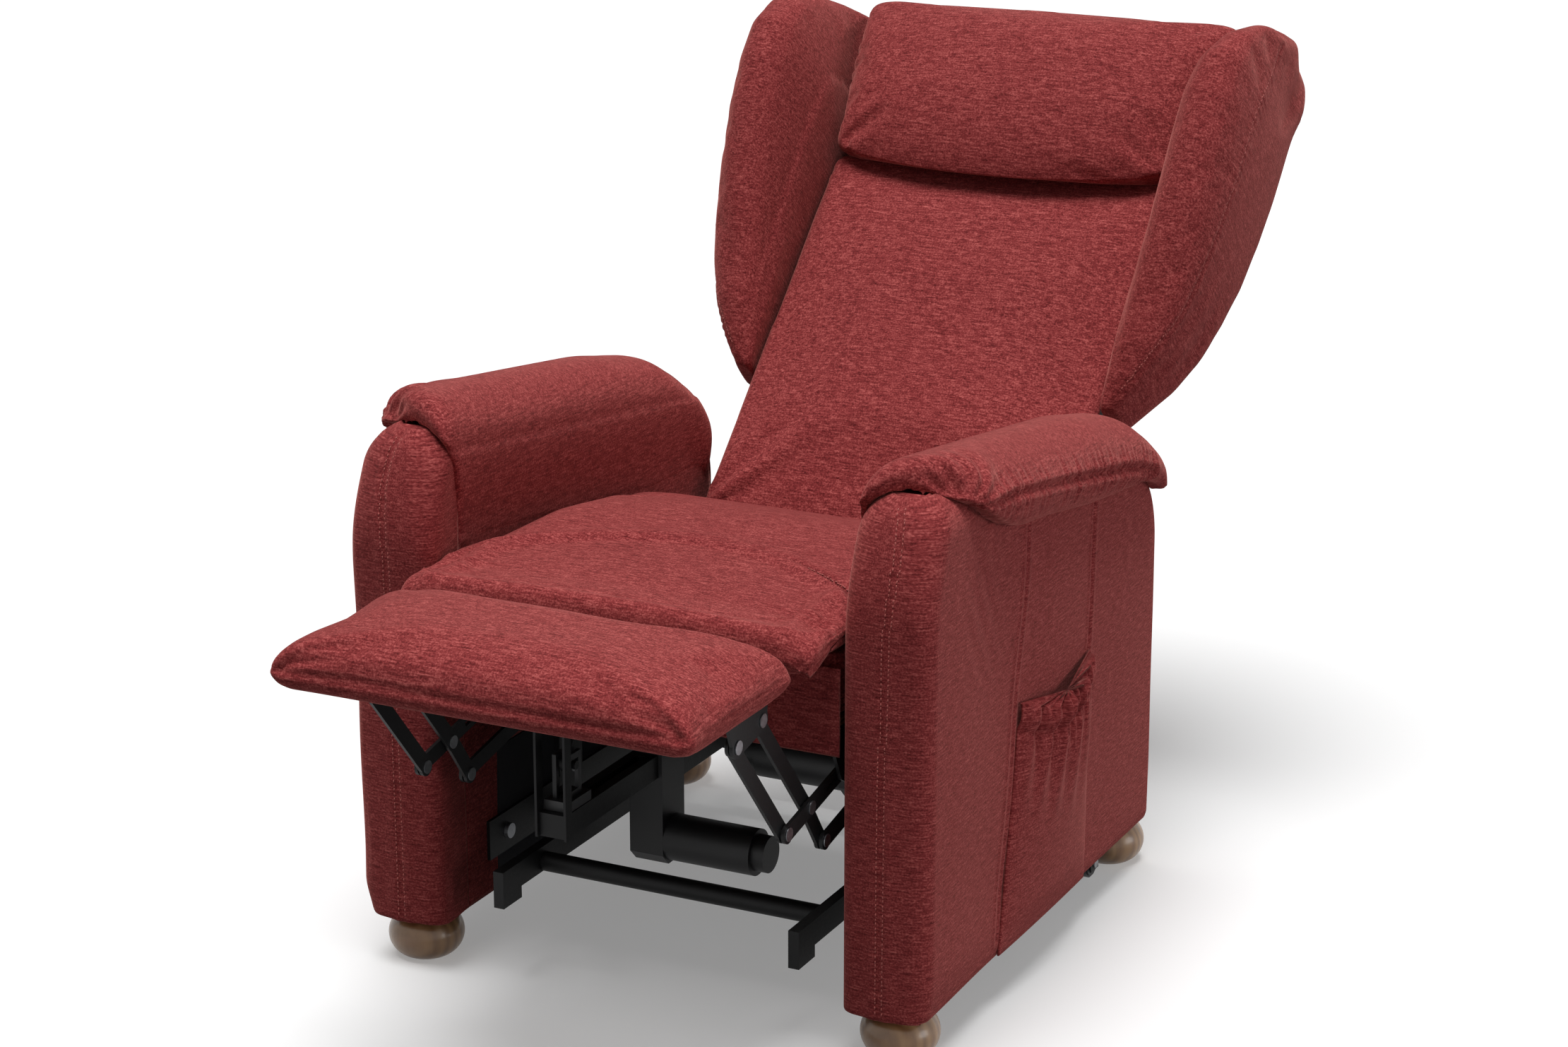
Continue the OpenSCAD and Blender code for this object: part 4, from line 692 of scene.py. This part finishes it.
def buildPocket(name, s=pocket):
    us = np.linspace(0, 1, 150)
    vs = np.concatenate([np.linspace(0, 0.9, 70), np.linspace(0.905, 1, 26)])
    rng = np.random.default_rng(7)
    bend = rng.uniform(-0.35, 0.35, s["folds"] + 2)
    deep = rng.uniform(0.55, 1.2, s["folds"] + 2)
    outer, inner = [], []
    for v in vs:
        frontY = s["front"] - s["slant"] * (1 - v)
        y = frontY + (s["rear"] - frontY) * us
        z = s["foot"] + (s["top"] - s["foot"]) * v - 23 * np.sin(math.pi * us ** 0.85) ** 1.1 * v
        edge = np.sin(math.pi * us)
        k = us ** 0.9 * s["folds"] + 0.5 * (1 - v) * np.sin(math.pi * us)
        cell = np.clip(k.astype(int), 0, s["folds"])
        fold = 0.5 - 0.5 * np.cos(2 * math.pi * (k + bend[cell] * np.sin(math.pi * (k % 1)) * 0.3))
        fall = ease((v - 0.22 - 0.30 * (1 - us)) * 1.6)
        out = s["room"] * edge ** 0.6 * (0.55 + 0.45 * ease(v * 1.3)) * math.sqrt(min(1, 7 * v + 0.02))
        out += 15.0 * (fold - 0.45) * deep[cell] * edge ** 0.4 * fall
        g = s["gathers"] * us + 0.35 * np.sin(9 * us + 1) + 0.2 * np.sin(31 * us)
        near = max(0.0, (v - 0.72) / 0.28)  # fine gathers below and in the elastic hem
        out += 2.6 * near ** 0.8 * np.cos(2 * math.pi * g) * edge ** 0.4
        if v > 0.9:
            w = (v - 0.9) / 0.1
            out += 3.4 * math.sin(math.pi * w) ** 0.7 + 1.2 * w
            z += 3.0 * np.cos(2 * math.pi * g + 0.8) * w * edge ** 0.4
        if 0.84 < v < 0.94:
            out -= 3.0 * (1 - abs(v - 0.89) / 0.05) * edge ** 0.4
        outer.append(np.column_stack([s["wall"] + s["thick"] + np.maximum(out, 0), y, z]))
        inner.append(np.column_stack([s["wall"] + np.maximum(out, 0), y, z]))
    rows = [np.concatenate([a, b[::-1]]) for a, b in zip(outer, inner)]
    return lofted(name, rows)


bag = buildPocket("sidePocket")
weaveOn(bag, places(bag)[:, 1], places(bag)[:, 2])
dress(bag, "armCloth", "chassis")
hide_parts("pocket")
print("pocket ready")

# arm pads: an arched quilt that runs down the arm's inner side

armPad = {
    "voxel": 4.6, "middle": 309.5, "high": 78,
    "rear": [(0, 148), (18, 146), (34, 139), (55, 131), (70, 134), (83, 142)],
    "nose": [(245, 38), (254, 40), (285, 52), (310, 63), (345, 84), (376, 92)], "lip": 32, "lipUnder": 8,
    "drape": [(40, 26), (50, 14), (57, -2), (62, -22), (66, -60), (70, -95), (660, -95)],
    "lobe": [(70, 38), (96, 27), (138, 6), (180, -9), (216, -15), (288, -14), (413, -19), (501, -18), (582, -14),
             (650, -6)],
}


# the pad's section as x and height above the arm, from the inner side over the top, and each point's stretch of it
def padContour(s=armPad):
    turn = np.radians(np.linspace(180, 0, 50))
    c, si = np.cos(turn), np.sin(turn)
    drape = [(246 + 7.8 * float(ease((5 - t) / 95)), t) for t in np.linspace(-95, 12, 16)]
    over = [(s["middle"] + (63.5 if a < 0 else 65) * math.copysign(abs(a) ** 0.87, a),
             15 + (s["high"] - 15) * b ** 0.87) for a, b in zip(c, si)]
    lobe = [(375.6 - 13 * k ** 3, 12 - 12 * k) for k in np.linspace(0.1, 1, 9)]  # height filled in later
    tuck = [(356, 0), (350, 0), (345, 0)]
    under = [(301.5 + 48.6 * math.cos(a), -6 + 48.6 * math.sin(a)) for a in turn[::-2]]
    lining = [(263, t) for t in np.linspace(-14, -95, 9)]
    runs = (drape, over, lobe, tuck, under, lining)
    return np.array(sum(runs, []), float), np.repeat(np.arange(6), [len(run) for run in runs])


def buildPad(name, s=armPad):
    shape, kinds = padContour()
    x, t = shape.T
    start = bowed(x, s["nose"])
    turn = np.arctan2(np.maximum(t + 3, 0.0), x - 303.5)
    midX, midT = 303.5 + 58 * np.cos(turn), -3 + 54 * np.sin(turn)
    outside = np.isin(kinds, (0, 1, 2, 3))
    lobeShare = (12 - t) / 12
    rows = []
    straight = np.concatenate([np.arange(0, 36, 2.0), np.arange(36, 484, 5.0)])
    bend = np.arange(82.7, 29.9, -2.0)
    last = 14 + 20 * ease((x - 262) / 70)  # the inner side runs further down behind the arm
    for k in range(len(straight) + len(bend)):
        ahead = straight[k] if k < len(straight) else 484 + (k - len(straight) + 1) * 5
        grow = math.sqrt(1 - (1 - min(1, (ahead + 0.3) / s["lip"])) ** 2)
        growUnder = math.sqrt(1 - (1 - min(1, (ahead + 0.3) / s["lipUnder"])) ** 2)
        left = 0 if k < len(straight) else (len(straight) + len(bend) - 1 - k) * 5.5
        close = 1.0 if k < len(straight) else math.sqrt(1 - (1 - min(1, (left + 1) / 30)) ** 2)
        g = np.where(outside, grow, growUnder)
        px, pt = midX + (x - midX) * g, midT + (t - midT) * g
        y = 38 + ahead + (start - 38) * (1 - ease(ahead / 220))
        low = bowed(y, s["lobe"])
        pt = np.where(kinds == 2, 12 + (low - 12) * lobeShare, pt)
        pt = np.where(kinds == 3, low + np.where(x > 353, 1.0, 6.0), pt)
        pt = np.where(px > 335, np.maximum(pt, low), pt)
        pt = np.where(px < 268, np.maximum(pt, bowed(y, s["drape"])), pt)
        if k < len(straight):
            pt = pt - np.where(pt > 0, pt / s["high"], 0) * 6 * ease((y - 440) / 90)
            rows.append(np.column_stack([px, y, armTop(y) + pt]))
            continue
        share = (k - len(straight) + 1) / len(bend)
        a = np.radians(82.7 - (82.7 - last) * share)
        wayY, wayZ = np.cos(a), np.sin(a)
        cz = armTop(562) - 110 / math.cos(math.radians(7.3))
        footY, footZ = 562 + 111 * wayY, cz + 111 * wayZ
        r = bowed(np.degrees(a), s["rear"])
        headY, headZ = 538 + r * wayY, 458 + r * wayZ
        h = np.hypot(headY - footY, headZ - footZ)
        wayY, wayZ = (headY - footY) / h, (headZ - footZ) / h
        pt = np.where(pt > 0, pt * h / s["high"], pt)
        pt = np.where(px < 268, np.maximum(pt, -95 + 62 * share), pt)
        pt = 18 + (pt - 18) * close
        px = s["middle"] + (px - s["middle"]) * (0.8 + 0.2 * close)
        rows.append(np.column_stack([px, footY + pt * wayY, footZ + pt * wayZ]))
    return softened(remeshed(lofted(name, rows), s["voxel"]), 3)


padRight = buildPad("armPadRight")
swellLater(padRight, lambda p: (p[:, 2] < armTop(p[:, 1]) + 12) & (p[:, 0] < 356),
           shrink=2.0, cap=5.0, bending=8, pressure=3.0)
print("arm pad formed")

# the seat's cloth front, below the leg panel

seatApron = {"half": 246, "low": 345, "high": 444, "front": 9.0, "rear": 11.4}


def buildApron(name, s=seatApron):
    zs = np.linspace(s["low"], s["high"], 34)
    rows = []
    for x in np.linspace(-s["half"], s["half"], 150):
        wave = 0.7 * math.sin(x / 27) + 0.5 * np.sin(x / 11 + zs / 24) * np.sin((zs - s["low"]) / 34)
        y = s["front"] + wave
        y[0], y[-1] = s["rear"] - 0.8, s["rear"] - 0.8
        rows.append([(x, a, z) for a, z in zip(y, zs)] + [(x, s["rear"], z) for z in zs[::-5]])
    return lofted(name, rows)


apron = buildApron("seatApron")
dress(apron, "cloth", "seat")
print("seat front ready")

# seat cushion and leg panel

seatShape = {"voxel": 7.0, "frontFloor": 455, "seamSide": 62, "seamMiddle": 182}


def seamY(x):
    return seatShape["seamMiddle"] - (seatShape["seamMiddle"] - seatShape["seamSide"]) * (x / seatHalf) ** 2


seatPiece = remeshed(nodeCopy("seatCushion", "seat_cushion"), seatShape["voxel"])
softened(seatPiece, 3)
p = places(seatPiece)
ahead = seamY(p[:, 0]) + 1 - p[:, 1]
drop = ease(ahead / 5 + 0.5) * np.maximum(0, p[:, 2] - seatShape["frontFloor"])
p[:, 2] -= drop
setPlaces(seatPiece, p)
swellLater(seatPiece, lambda p: (p[:, 2] < seatShape["frontFloor"] + 4) | (p[:, 1] < seamY(p[:, 0]) + 6),
           shrink=3, cap=10, bending=5, pressure=3.5)

legPanel = {"front": -69, "under": 458, "board": 469.2, "crest": 504, "crown": 9, "endRound": 9}


# one lengthwise section of the leg panel, from the arched seam over the top to the nose and back below
def legSection(x, s=legPanel):
    e = max(0.0, (abs(x) - (seatHalf - s["endRound"])) / s["endRound"])
    pull = 1 - math.sqrt(max(0.0, 1 - min(1.0, e) ** 2))
    crown = s["crown"] * (1 - (x / seatHalf) ** 2) - 9 * float(ease((abs(x) - 205) / 42))
    rear = seamY(x) - 1.5
    span = rear - s["front"]
    t = np.linspace(0, 1, 64)
    y = rear - span * t
    z = s["crest"] + crown - 6.5 * np.exp(-((t * span) / 9) ** 2) * 1.1
    z -= 5.0 * ease((t * span - span + 45) / 45)
    nose = np.clip((s["front"] + 24 - y) / 24, 0, 1)
    z -= 22 * (1 - np.sqrt(1 - nose ** 2))
    z = z - pull * 9
    y = np.where(t > 0.5, y + pull * 7, y)
    top = np.column_stack([np.full_like(y, x), y, z])
    foot = s["under"] + 15 * float(ease((abs(x) - 229) / 18))
    noseLine = [(x, s["front"] - 0.5 + pull * 8, z[-1] - 8), (x, s["front"] + 1.5 + pull * 8, foot + 6 + 3 * pull),
                (x, s["front"] + 6 + pull * 7, foot + 1.5 * pull)]
    inBoard = abs(x) < 228
    roof = s["board"] if inBoard else foot + 1
    below = [(x, -58, foot), (x, -54.5, foot + 0.3), (x, -54, roof), (x, -30, roof), (x, -10, roof),
             (x, 7, roof), (x, 7.6, foot), (x, 14, foot - 1), (x, 24, foot - 2)]
    below += [(x, yy, foot - 2) for yy in np.linspace(34, rear - 1, 10)]
    wall = [(x, rear, foot + 10), (x, rear + 0.3, foot + 20)]
    return np.array(top.tolist() + noseLine + below + wall)


stations = np.concatenate([-seatHalf + 9 * (1 - np.cos(np.linspace(0, math.pi / 2, 7))),
                           np.linspace(-seatHalf + 9, seatHalf - 9, 96)[1:-1],
                           seatHalf - 9 * (1 - np.cos(np.linspace(math.pi / 2, 0, 7)))])
legPiece = lofted("legPanel", [legSection(x) for x in stations])
swellLater(legPiece, lambda p: (p[:, 2] < 472) | (p[:, 1] > seamY(p[:, 0]) - 8),
           shrink=3, cap=9, bending=5, pressure=3.5)
print("seat and leg panel formed")

# footrest pad

footrestPad = {"voxel": 5.0, "half": 244.5, "middle": -210, "depth": 110, "crown": 5.0, "endDrop": 15.0}
footPiece = remeshed(nodeCopy("footrestPad", "footrest_pad"), footrestPad["voxel"])
softened(footPiece, 3)
p = places(footPiece)
fx = np.abs(p[:, 0]) / footrestPad["half"]
fy = np.abs(p[:, 1] - footrestPad["middle"]) / footrestPad["depth"]
upper = ease((p[:, 2] - 466) / 30)
p[:, 2] += upper * (footrestPad["crown"] * (1 - fx ** 4) * (1 - fy ** 4)
                    - footrestPad["endDrop"] * fx ** 12 * (1 - 0.4 * fy ** 2) - 5 * fx ** 6 * fy ** 6)
p[:, 0] += np.sign(p[:, 0]) * 8.0 * fx ** 8 * fy ** 6 * (1 - upper * 0.3)
p[:, 1] += np.sign(p[:, 1] - footrestPad["middle"]) * 7.0 * fx ** 10 * fy ** 6 * (1 - upper * 0.3)
rim = (np.abs(p[:, 0]) > 229.5) | (p[:, 1] < -305) | (p[:, 1] > -115)
p[:, 2] -= rim * 5.5 * ease((466 - p[:, 2]) / 11)
setPlaces(footPiece, p)
swellLater(footPiece, lambda p: p[:, 2] < 468, shrink=3, cap=8, bending=5, pressure=3.5)
print("footrest formed")

# back: lower cushion, head cushion, wings and rear cover

backCushion = {"voxel": 6.0, "up": 14, "rearward": 5}  # how far its top end tucks under the head cushion
backPiece = softened(remeshed(nodeCopy("backCushion", "back_cushion"), backCushion["voxel"]), 3)
q = toBack(places(backPiece))
under = ease((q[:, 2] - 330) / 100)
q[:, 2] += backCushion["up"] * under
q[:, 1] += backCushion["rearward"] * under
setPlaces(backPiece, fromBack(q))
swellLater(backPiece, lambda p: toBack(p)[:, 1] > 14, shrink=3, cap=12, bending=5, pressure=3.0)
headCushion = {"voxel": 5.0, "sag": 34, "half": 242, "wider": (-5, 12)}  # left and right at its top corners
headPiece = softened(remeshed(nodeCopy("headCushion", "head_cushion"), headCushion["voxel"]), 3)
q = toBack(places(headPiece))
inFront = ease((4 - q[:, 1]) / 20)
lower = ease((520 - q[:, 2]) / 90)
q[:, 2] -= headCushion["sag"] * inFront * lower * np.clip(1 - (q[:, 0] / headCushion["half"]) ** 2, 0, 1) ** 0.7
wider = np.where(q[:, 0] > 0, headCushion["wider"][1], headCushion["wider"][0])
q[:, 0] += ease((q[:, 2] - 440) / 210) * ease((np.abs(q[:, 0]) - 60) / 190) * wider
setPlaces(headPiece, fromBack(q))
swellLater(headPiece, lambda p: toBack(p)[:, 1] > 16, shrink=3, cap=12, bending=5, pressure=3.5)
wingPiece = softened(remeshed(nodeCopy("wingRight", "wing_right"), 6.0), 4)
swellLater(wingPiece, lambda p: (np.abs(p[:, 0]) < 248) | (toBack(p)[:, 1] > 96),
           shrink=2.5, cap=8, bending=8, pressure=3.0)
coverPiece = softened(remeshed(nodeCopy("rearCover", "back_cover"), 6.5), 3)
print("back formed")

swellNow()

# seams, gathers and stitches

# arm pads
finer(padRight)
padSide = [(370, 90, 616), (375, 112, 614), (375.5, 167, 608), (375.5, 214, 602), (375.5, 326, 583),
           (375, 454, 560), (374, 540, 542), (370, 600, 522)]
seam(padRight, padSide, 4.5, 4.6, 1.6)
puckers(padRight, padSide, 12.5, 2.3, 38, side=lambda q: q[:, 1] > 330, seed=3)
puckers(padRight, padSide, 17, 1.7, 44, side=lambda q: (q[:, 1] <= 330) & (q[:, 1] > 84), seed=9)
p, n = places(padRight), outwards(padRight)  # folds that fan from the front corner
dy, dz = p[:, 1] - 88, p[:, 2] - 618
away, turn = np.hypot(dy, dz), np.arctan2(dz, dy)
fan = ease((away - 8) / 22) * ease((125 - away) / 80) * ease((p[:, 0] - 300) / 40) * (dz > -4)
p += n * (fan * 2.2 * np.cos(turn * 13 + 0.7))[:, None]
setPlaces(padRight, p)
padLeft = mirrored(padRight, "armPadLeft")
p = places(padLeft)
p[:, 0] -= 6 * ease((240 - p[:, 1]) / 180) * ease((-p[:, 0] - 275) / 40)
setPlaces(padLeft, p)
for sideName, pad in (("right", padRight), ("left", padLeft)):
    dress(pad, "cloth", "chassis")
    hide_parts("arm_pad_" + sideName)

# seat and leg panel
finer(seatPiece)
arch = curveThrough([(x, seamY(x), 500) for x in np.linspace(-seatHalf + 4, seatHalf - 4, 60)])
p, n = places(seatPiece), outwards(seatPiece)
behind = p[:, 1] - seamY(p[:, 0])
top = (p[:, 2] > 480) & (behind > -4)
p[top] += n[top] * (1.6 * np.exp(-((behind[top] - 18) / 10) ** 2) - 2.4 * np.exp(-(behind[top] / 7) ** 2))[:, None]
slow = np.sin(p[:, 0] / 83 + 1.2) * np.cos(p[:, 1] / 66) + 0.5 * np.sin(p[:, 0] / 37 - p[:, 1] / 51)
p += n * (slow * 1.0 * (p[:, 2] > 470))[:, None]
setPlaces(seatPiece, p)
dress(seatPiece, "cloth", "seat")
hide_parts("seat_cushion")
thread = stitches("seatSeamStitch", seatPiece, [arch + (0, 7.5, 0)])
dress(thread, "thread", "seat")

finer(legPiece)
p, n = places(legPiece), outwards(legPiece)
for endSide in (-1, 1):  # gathers that fan from the hinge at each end
    dx, dy = (seatHalf + 14 - endSide * p[:, 0]), p[:, 1] - 4
    reach = np.hypot(dx, dy)
    turn = np.arctan2(dy, dx)
    size = (4.0 if endSide > 0 else 2.4) * ease((118 - reach) / 80)
    size = size * ease((reach - 12) / 20) * ease((p[:, 2] - 462) / 14)
    p += n * (size * (np.abs(np.cos(turn * 5.5 + 0.6 * np.sin(turn * 5))) ** 0.7 - 0.7))[:, None]
hinge = np.exp(-((p[:, 1] - 2) / 26) ** 2) * (p[:, 2] > 488)
p[:, 2] -= 2.6 * hinge * (0.6 + 0.4 * (p[:, 0] / seatHalf) ** 2)
setPlaces(legPiece, p)
seam(legPiece, [(x, legPanel["front"] - 1.5, 473 + 3 * math.cos(x / 157)) for x in np.linspace(-232, 232, 20)],
     4.0, 1.8, 0.5)
thread = stitches("legSeamStitch", legPiece, [arch - (0, 8.5, 0)])
dress(thread, "thread", "seat")
dress(legPiece, "cloth")
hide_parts("middle_flap")
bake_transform(legPiece)

# footrest
finer(footPiece)
band = [(-238, -306, 469)] + [(x, -321.5, 472) for x in np.linspace(-226, 226, 20)] + [(238, -306, 469)]
seam(footPiece, band, 4.5, 2.2, 0.6)
rearCorner = [(205, -108, 496), (222, -104, 484), (232, -101, 470)]
seam(footPiece, rearCorner, 5.0, 3.0, 1.0)
seam(footPiece, [(-x, y, z) for x, y, z in rearCorner], 5.0, 2.6, 1.0)
p, n = places(footPiece), outwards(footPiece)
slow = np.sin(p[:, 0] / 71 + 0.4) * np.cos(p[:, 1] / 44 + 0.6) + 0.5 * np.sin(p[:, 0] / 29 + p[:, 1] / 33)
p += n * (slow * 0.9 * (p[:, 2] > 474))[:, None]
setPlaces(footPiece, p)
dress(footPiece, "cloth", "footrest")
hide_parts("footrest_pad")

# back cushions
finer(backPiece)
q = toBack(places(backPiece))
n = outwards(backPiece)
face = ease((8 - q[:, 1]) / 8)
slow = np.sin(q[:, 0] / 77) * np.cos(q[:, 2] / 91 + 0.5) + 0.6 * np.sin(q[:, 2] / 47 + q[:, 0] / 61)
p = places(backPiece) + n * (slow * face * 1.2)[:, None]
setPlaces(backPiece, p)
dress(backPiece, "backCloth", "back")
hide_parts("back_cushion")

finer(headPiece)


def backPoints(points):
    return [tuple(v) for v in fromBack(np.array(points, float))]


headTop = backPoints([(x, -26, 676) for x in np.linspace(-240, 240, 14)])
seam(headPiece, headTop, 4.5, 1.6, 0.5)
for endSide in (-1, 1):
    edge = backPoints([(endSide * 249, 4, 470), (endSide * 254, 0, 560), (endSide * 258, 6, 660)])
    puckers(headPiece, edge, 21, 1.8, 52, seed=31 + endSide)
cornerFold = backPoints([(246, 2, 668), (228, -16, 640), (214, -26, 606)])
seam(headPiece, cornerFold, 6.0, 2.4, 1.2)
dress(headPiece, "backCloth", "back")
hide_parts("head_cushion")

# wings
finer(wingPiece)
wingSeam = [(343, -63, 615), (344, -66, 567), (345, -80, 500), (344, -74, 438), (341, -63, 367), (335, -51, 304),
            (328, -40, 249), (320, -34, 214), (311, -33, 190), (296, -27, 157), (279, -18, 130), (266, -9, 111)]
ridge = backPoints(wingSeam)
ridgeRoute = seam(wingPiece, ridge, 3.6, 2.2, 0.9)
seamS, seamX = [v[2] for v in wingSeam[::-1]], [v[0] for v in wingSeam[::-1]]
puckers(wingPiece, ridge, 11, 1.0, 34, seed=11,
        side=lambda q: q[:, 0] > np.interp(toBack(q)[:, 2], seamS, seamX))
innerEnd = backPoints([(262, -38, 176), (266, -30, 225), (268, -30, 290)])
seam(wingPiece, innerEnd, 4.5, 1.8, 0.6)
wingLeft = mirrored(wingPiece, "wingLeft")
for piece, side, slim in ((wingPiece, 1, 0.42), (wingLeft, -1, 0.14)):  # slimmer beside the top of the head cushion
    q = toBack(places(piece))
    out = 346 - q[:, 0] * side
    full = np.exp(-((q[:, 2] - 648) / 44) ** 2) * ease((q[:, 0] * side - 285) / 45)
    q[:, 0] = side * (346 - out * (1 - slim * ease((q[:, 2] - 470) / 170) * ease((40 - q[:, 1]) / 50)) + 10 * full)
    q[:, 2] += 5 * full
    setPlaces(piece, fromBack(q))
for sideName, piece, route in (("Right", wingPiece, ridgeRoute), ("Left", wingLeft, ridgeRoute * (-1, 1, 1))):
    dress(piece, "backCloth", "back")
    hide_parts("wing_" + sideName.lower())
    thread = stitches("wingStitch" + sideName, piece, [route], 3.2 if sideName == "Right" else -3.2)
    dress(thread, "thread", "back")

# rear cover
for x in (-150, 150):
    seam(coverPiece, backPoints([(x, 105, 0), (x, 105.5, 200), (x, 105, 400), (x * 0.98, 100, 640)]), 5, 1.8, 0.6)
# the rear cover wears the darker copy of the chenille, painted shade
dress(coverPiece, "rearShadedCloth", "back")
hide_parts("back_cover")
print("seams and stitches ready")

# room, light and camera

studio = {"floor": (253, 253, 253), "bounce": (118, 116, 116), "world": 0.14, "glow": 0.25,
          "sky": 3.1, "side": 0.85, "front": 0.05}

bpy.ops.object.select_all(action="DESELECT")
bpy.ops.mesh.primitive_plane_add(size=60, location=(0, 0, 0))
floor = bpy.context.active_object
floor.name = "floor"
finish, nodes, links, shader = newFinish("paleFloor")
speck = noise(nodes, links, spread(nodes, links, (1, 1, 1)), 3, 3, 0.5)
shade = [(0.3, colour(*[v - 1 for v in studio["floor"]])), (0.7, colour(*studio["floor"]))]
links.new(ramp(nodes, links, speck, shade), shader.inputs["Base Color"])
shader.inputs["Roughness"].default_value = 0.9
shader.inputs["Specular IOR Level"].default_value = 0.1
dim = nodes.new("ShaderNodeBsdfDiffuse")  # the floor throws little light back up at the chair
dim.inputs["Color"].default_value = colour(*studio["bounce"])
either = nodes.new("ShaderNodeMixShader")
links.new(roomRays(nodes, links), either.inputs[0])
links.new(dim.outputs[0], either.inputs[1])
glow = nodes.new("ShaderNodeEmission")  # and shows its shadow no darker than a studio's paper does
pale = nodes.new("ShaderNodeMixShader")
pale.inputs[0].default_value = studio["glow"]
links.new(shader.outputs[0], pale.inputs[1])
links.new(glow.outputs[0], pale.inputs[2])
links.new(pale.outputs[0], either.inputs[2])
links.new(either.outputs[0], [n for n in nodes if n.type == "OUTPUT_MATERIAL"][0].inputs["Surface"])
floor.data.materials.append(finish)
floor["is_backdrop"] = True

world = bpy.data.worlds.new("studio")
scene.world = world
world.use_nodes = True
wn, wl = world.node_tree.nodes, world.node_tree.links
wn.clear()
mix = wn.new("ShaderNodeMixShader")
wl.new(roomRays(wn, wl), mix.inputs[0])
for i, strength in ((1, studio["world"]), (2, 1.0)):  # what lights the chair, and what is seen behind it
    air = wn.new("ShaderNodeBackground")
    air.inputs["Color"].default_value = (1, 1, 1, 1)
    air.inputs["Strength"].default_value = strength
    wl.new(air.outputs[0], mix.inputs[i])
worldOut = wn.new("ShaderNodeOutputWorld")
wl.new(mix.outputs[0], worldOut.inputs["Surface"])


def sun(name, place, power, angle):
    data = bpy.data.lights.new(name, "SUN")
    data.energy, data.angle = power, math.radians(angle)
    o = bpy.data.objects.new(name, data)
    scene.collection.objects.link(o)
    o.location = place
    o.rotation_euler = (-Vector(place)).to_track_quat("-Z", "Y").to_euler()
    return o


sun("skyPanel", (-0.1, -0.4, 3.2), studio["sky"], 38)
sun("sidePanel", (3.0, 0.2, 0.45), studio["side"], 30)
sun("frontPanel", (-1.0, -3.0, 1.2), studio["front"], 60)

view = {"place": (1.7262, -3.54697, 1.6530), "aim": (0.0365, -0.15417, 0.4959), "roll": 0.045, "focal": 4924.6,
        "width": 2220}
cameraData = bpy.data.cameras.new("photoCamera")
cameraData.sensor_fit = "HORIZONTAL"
cameraData.sensor_width = 36
cameraData.lens = view["focal"] / view["width"] * cameraData.sensor_width
cameraData.clip_end = 100
camera = bpy.data.objects.new("photoCamera", cameraData)
scene.collection.objects.link(camera)
camera.location = view["place"]
look = (Vector(view["aim"]) - Vector(view["place"])).to_track_quat("-Z", "Y").to_matrix().to_4x4()
camera.rotation_euler = (look @ Matrix.Rotation(math.radians(-view["roll"]), 4, "Z")).to_euler()
scene.camera = camera
scene.view_settings.view_transform = "Standard"
print("studio ready")

low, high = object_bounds()
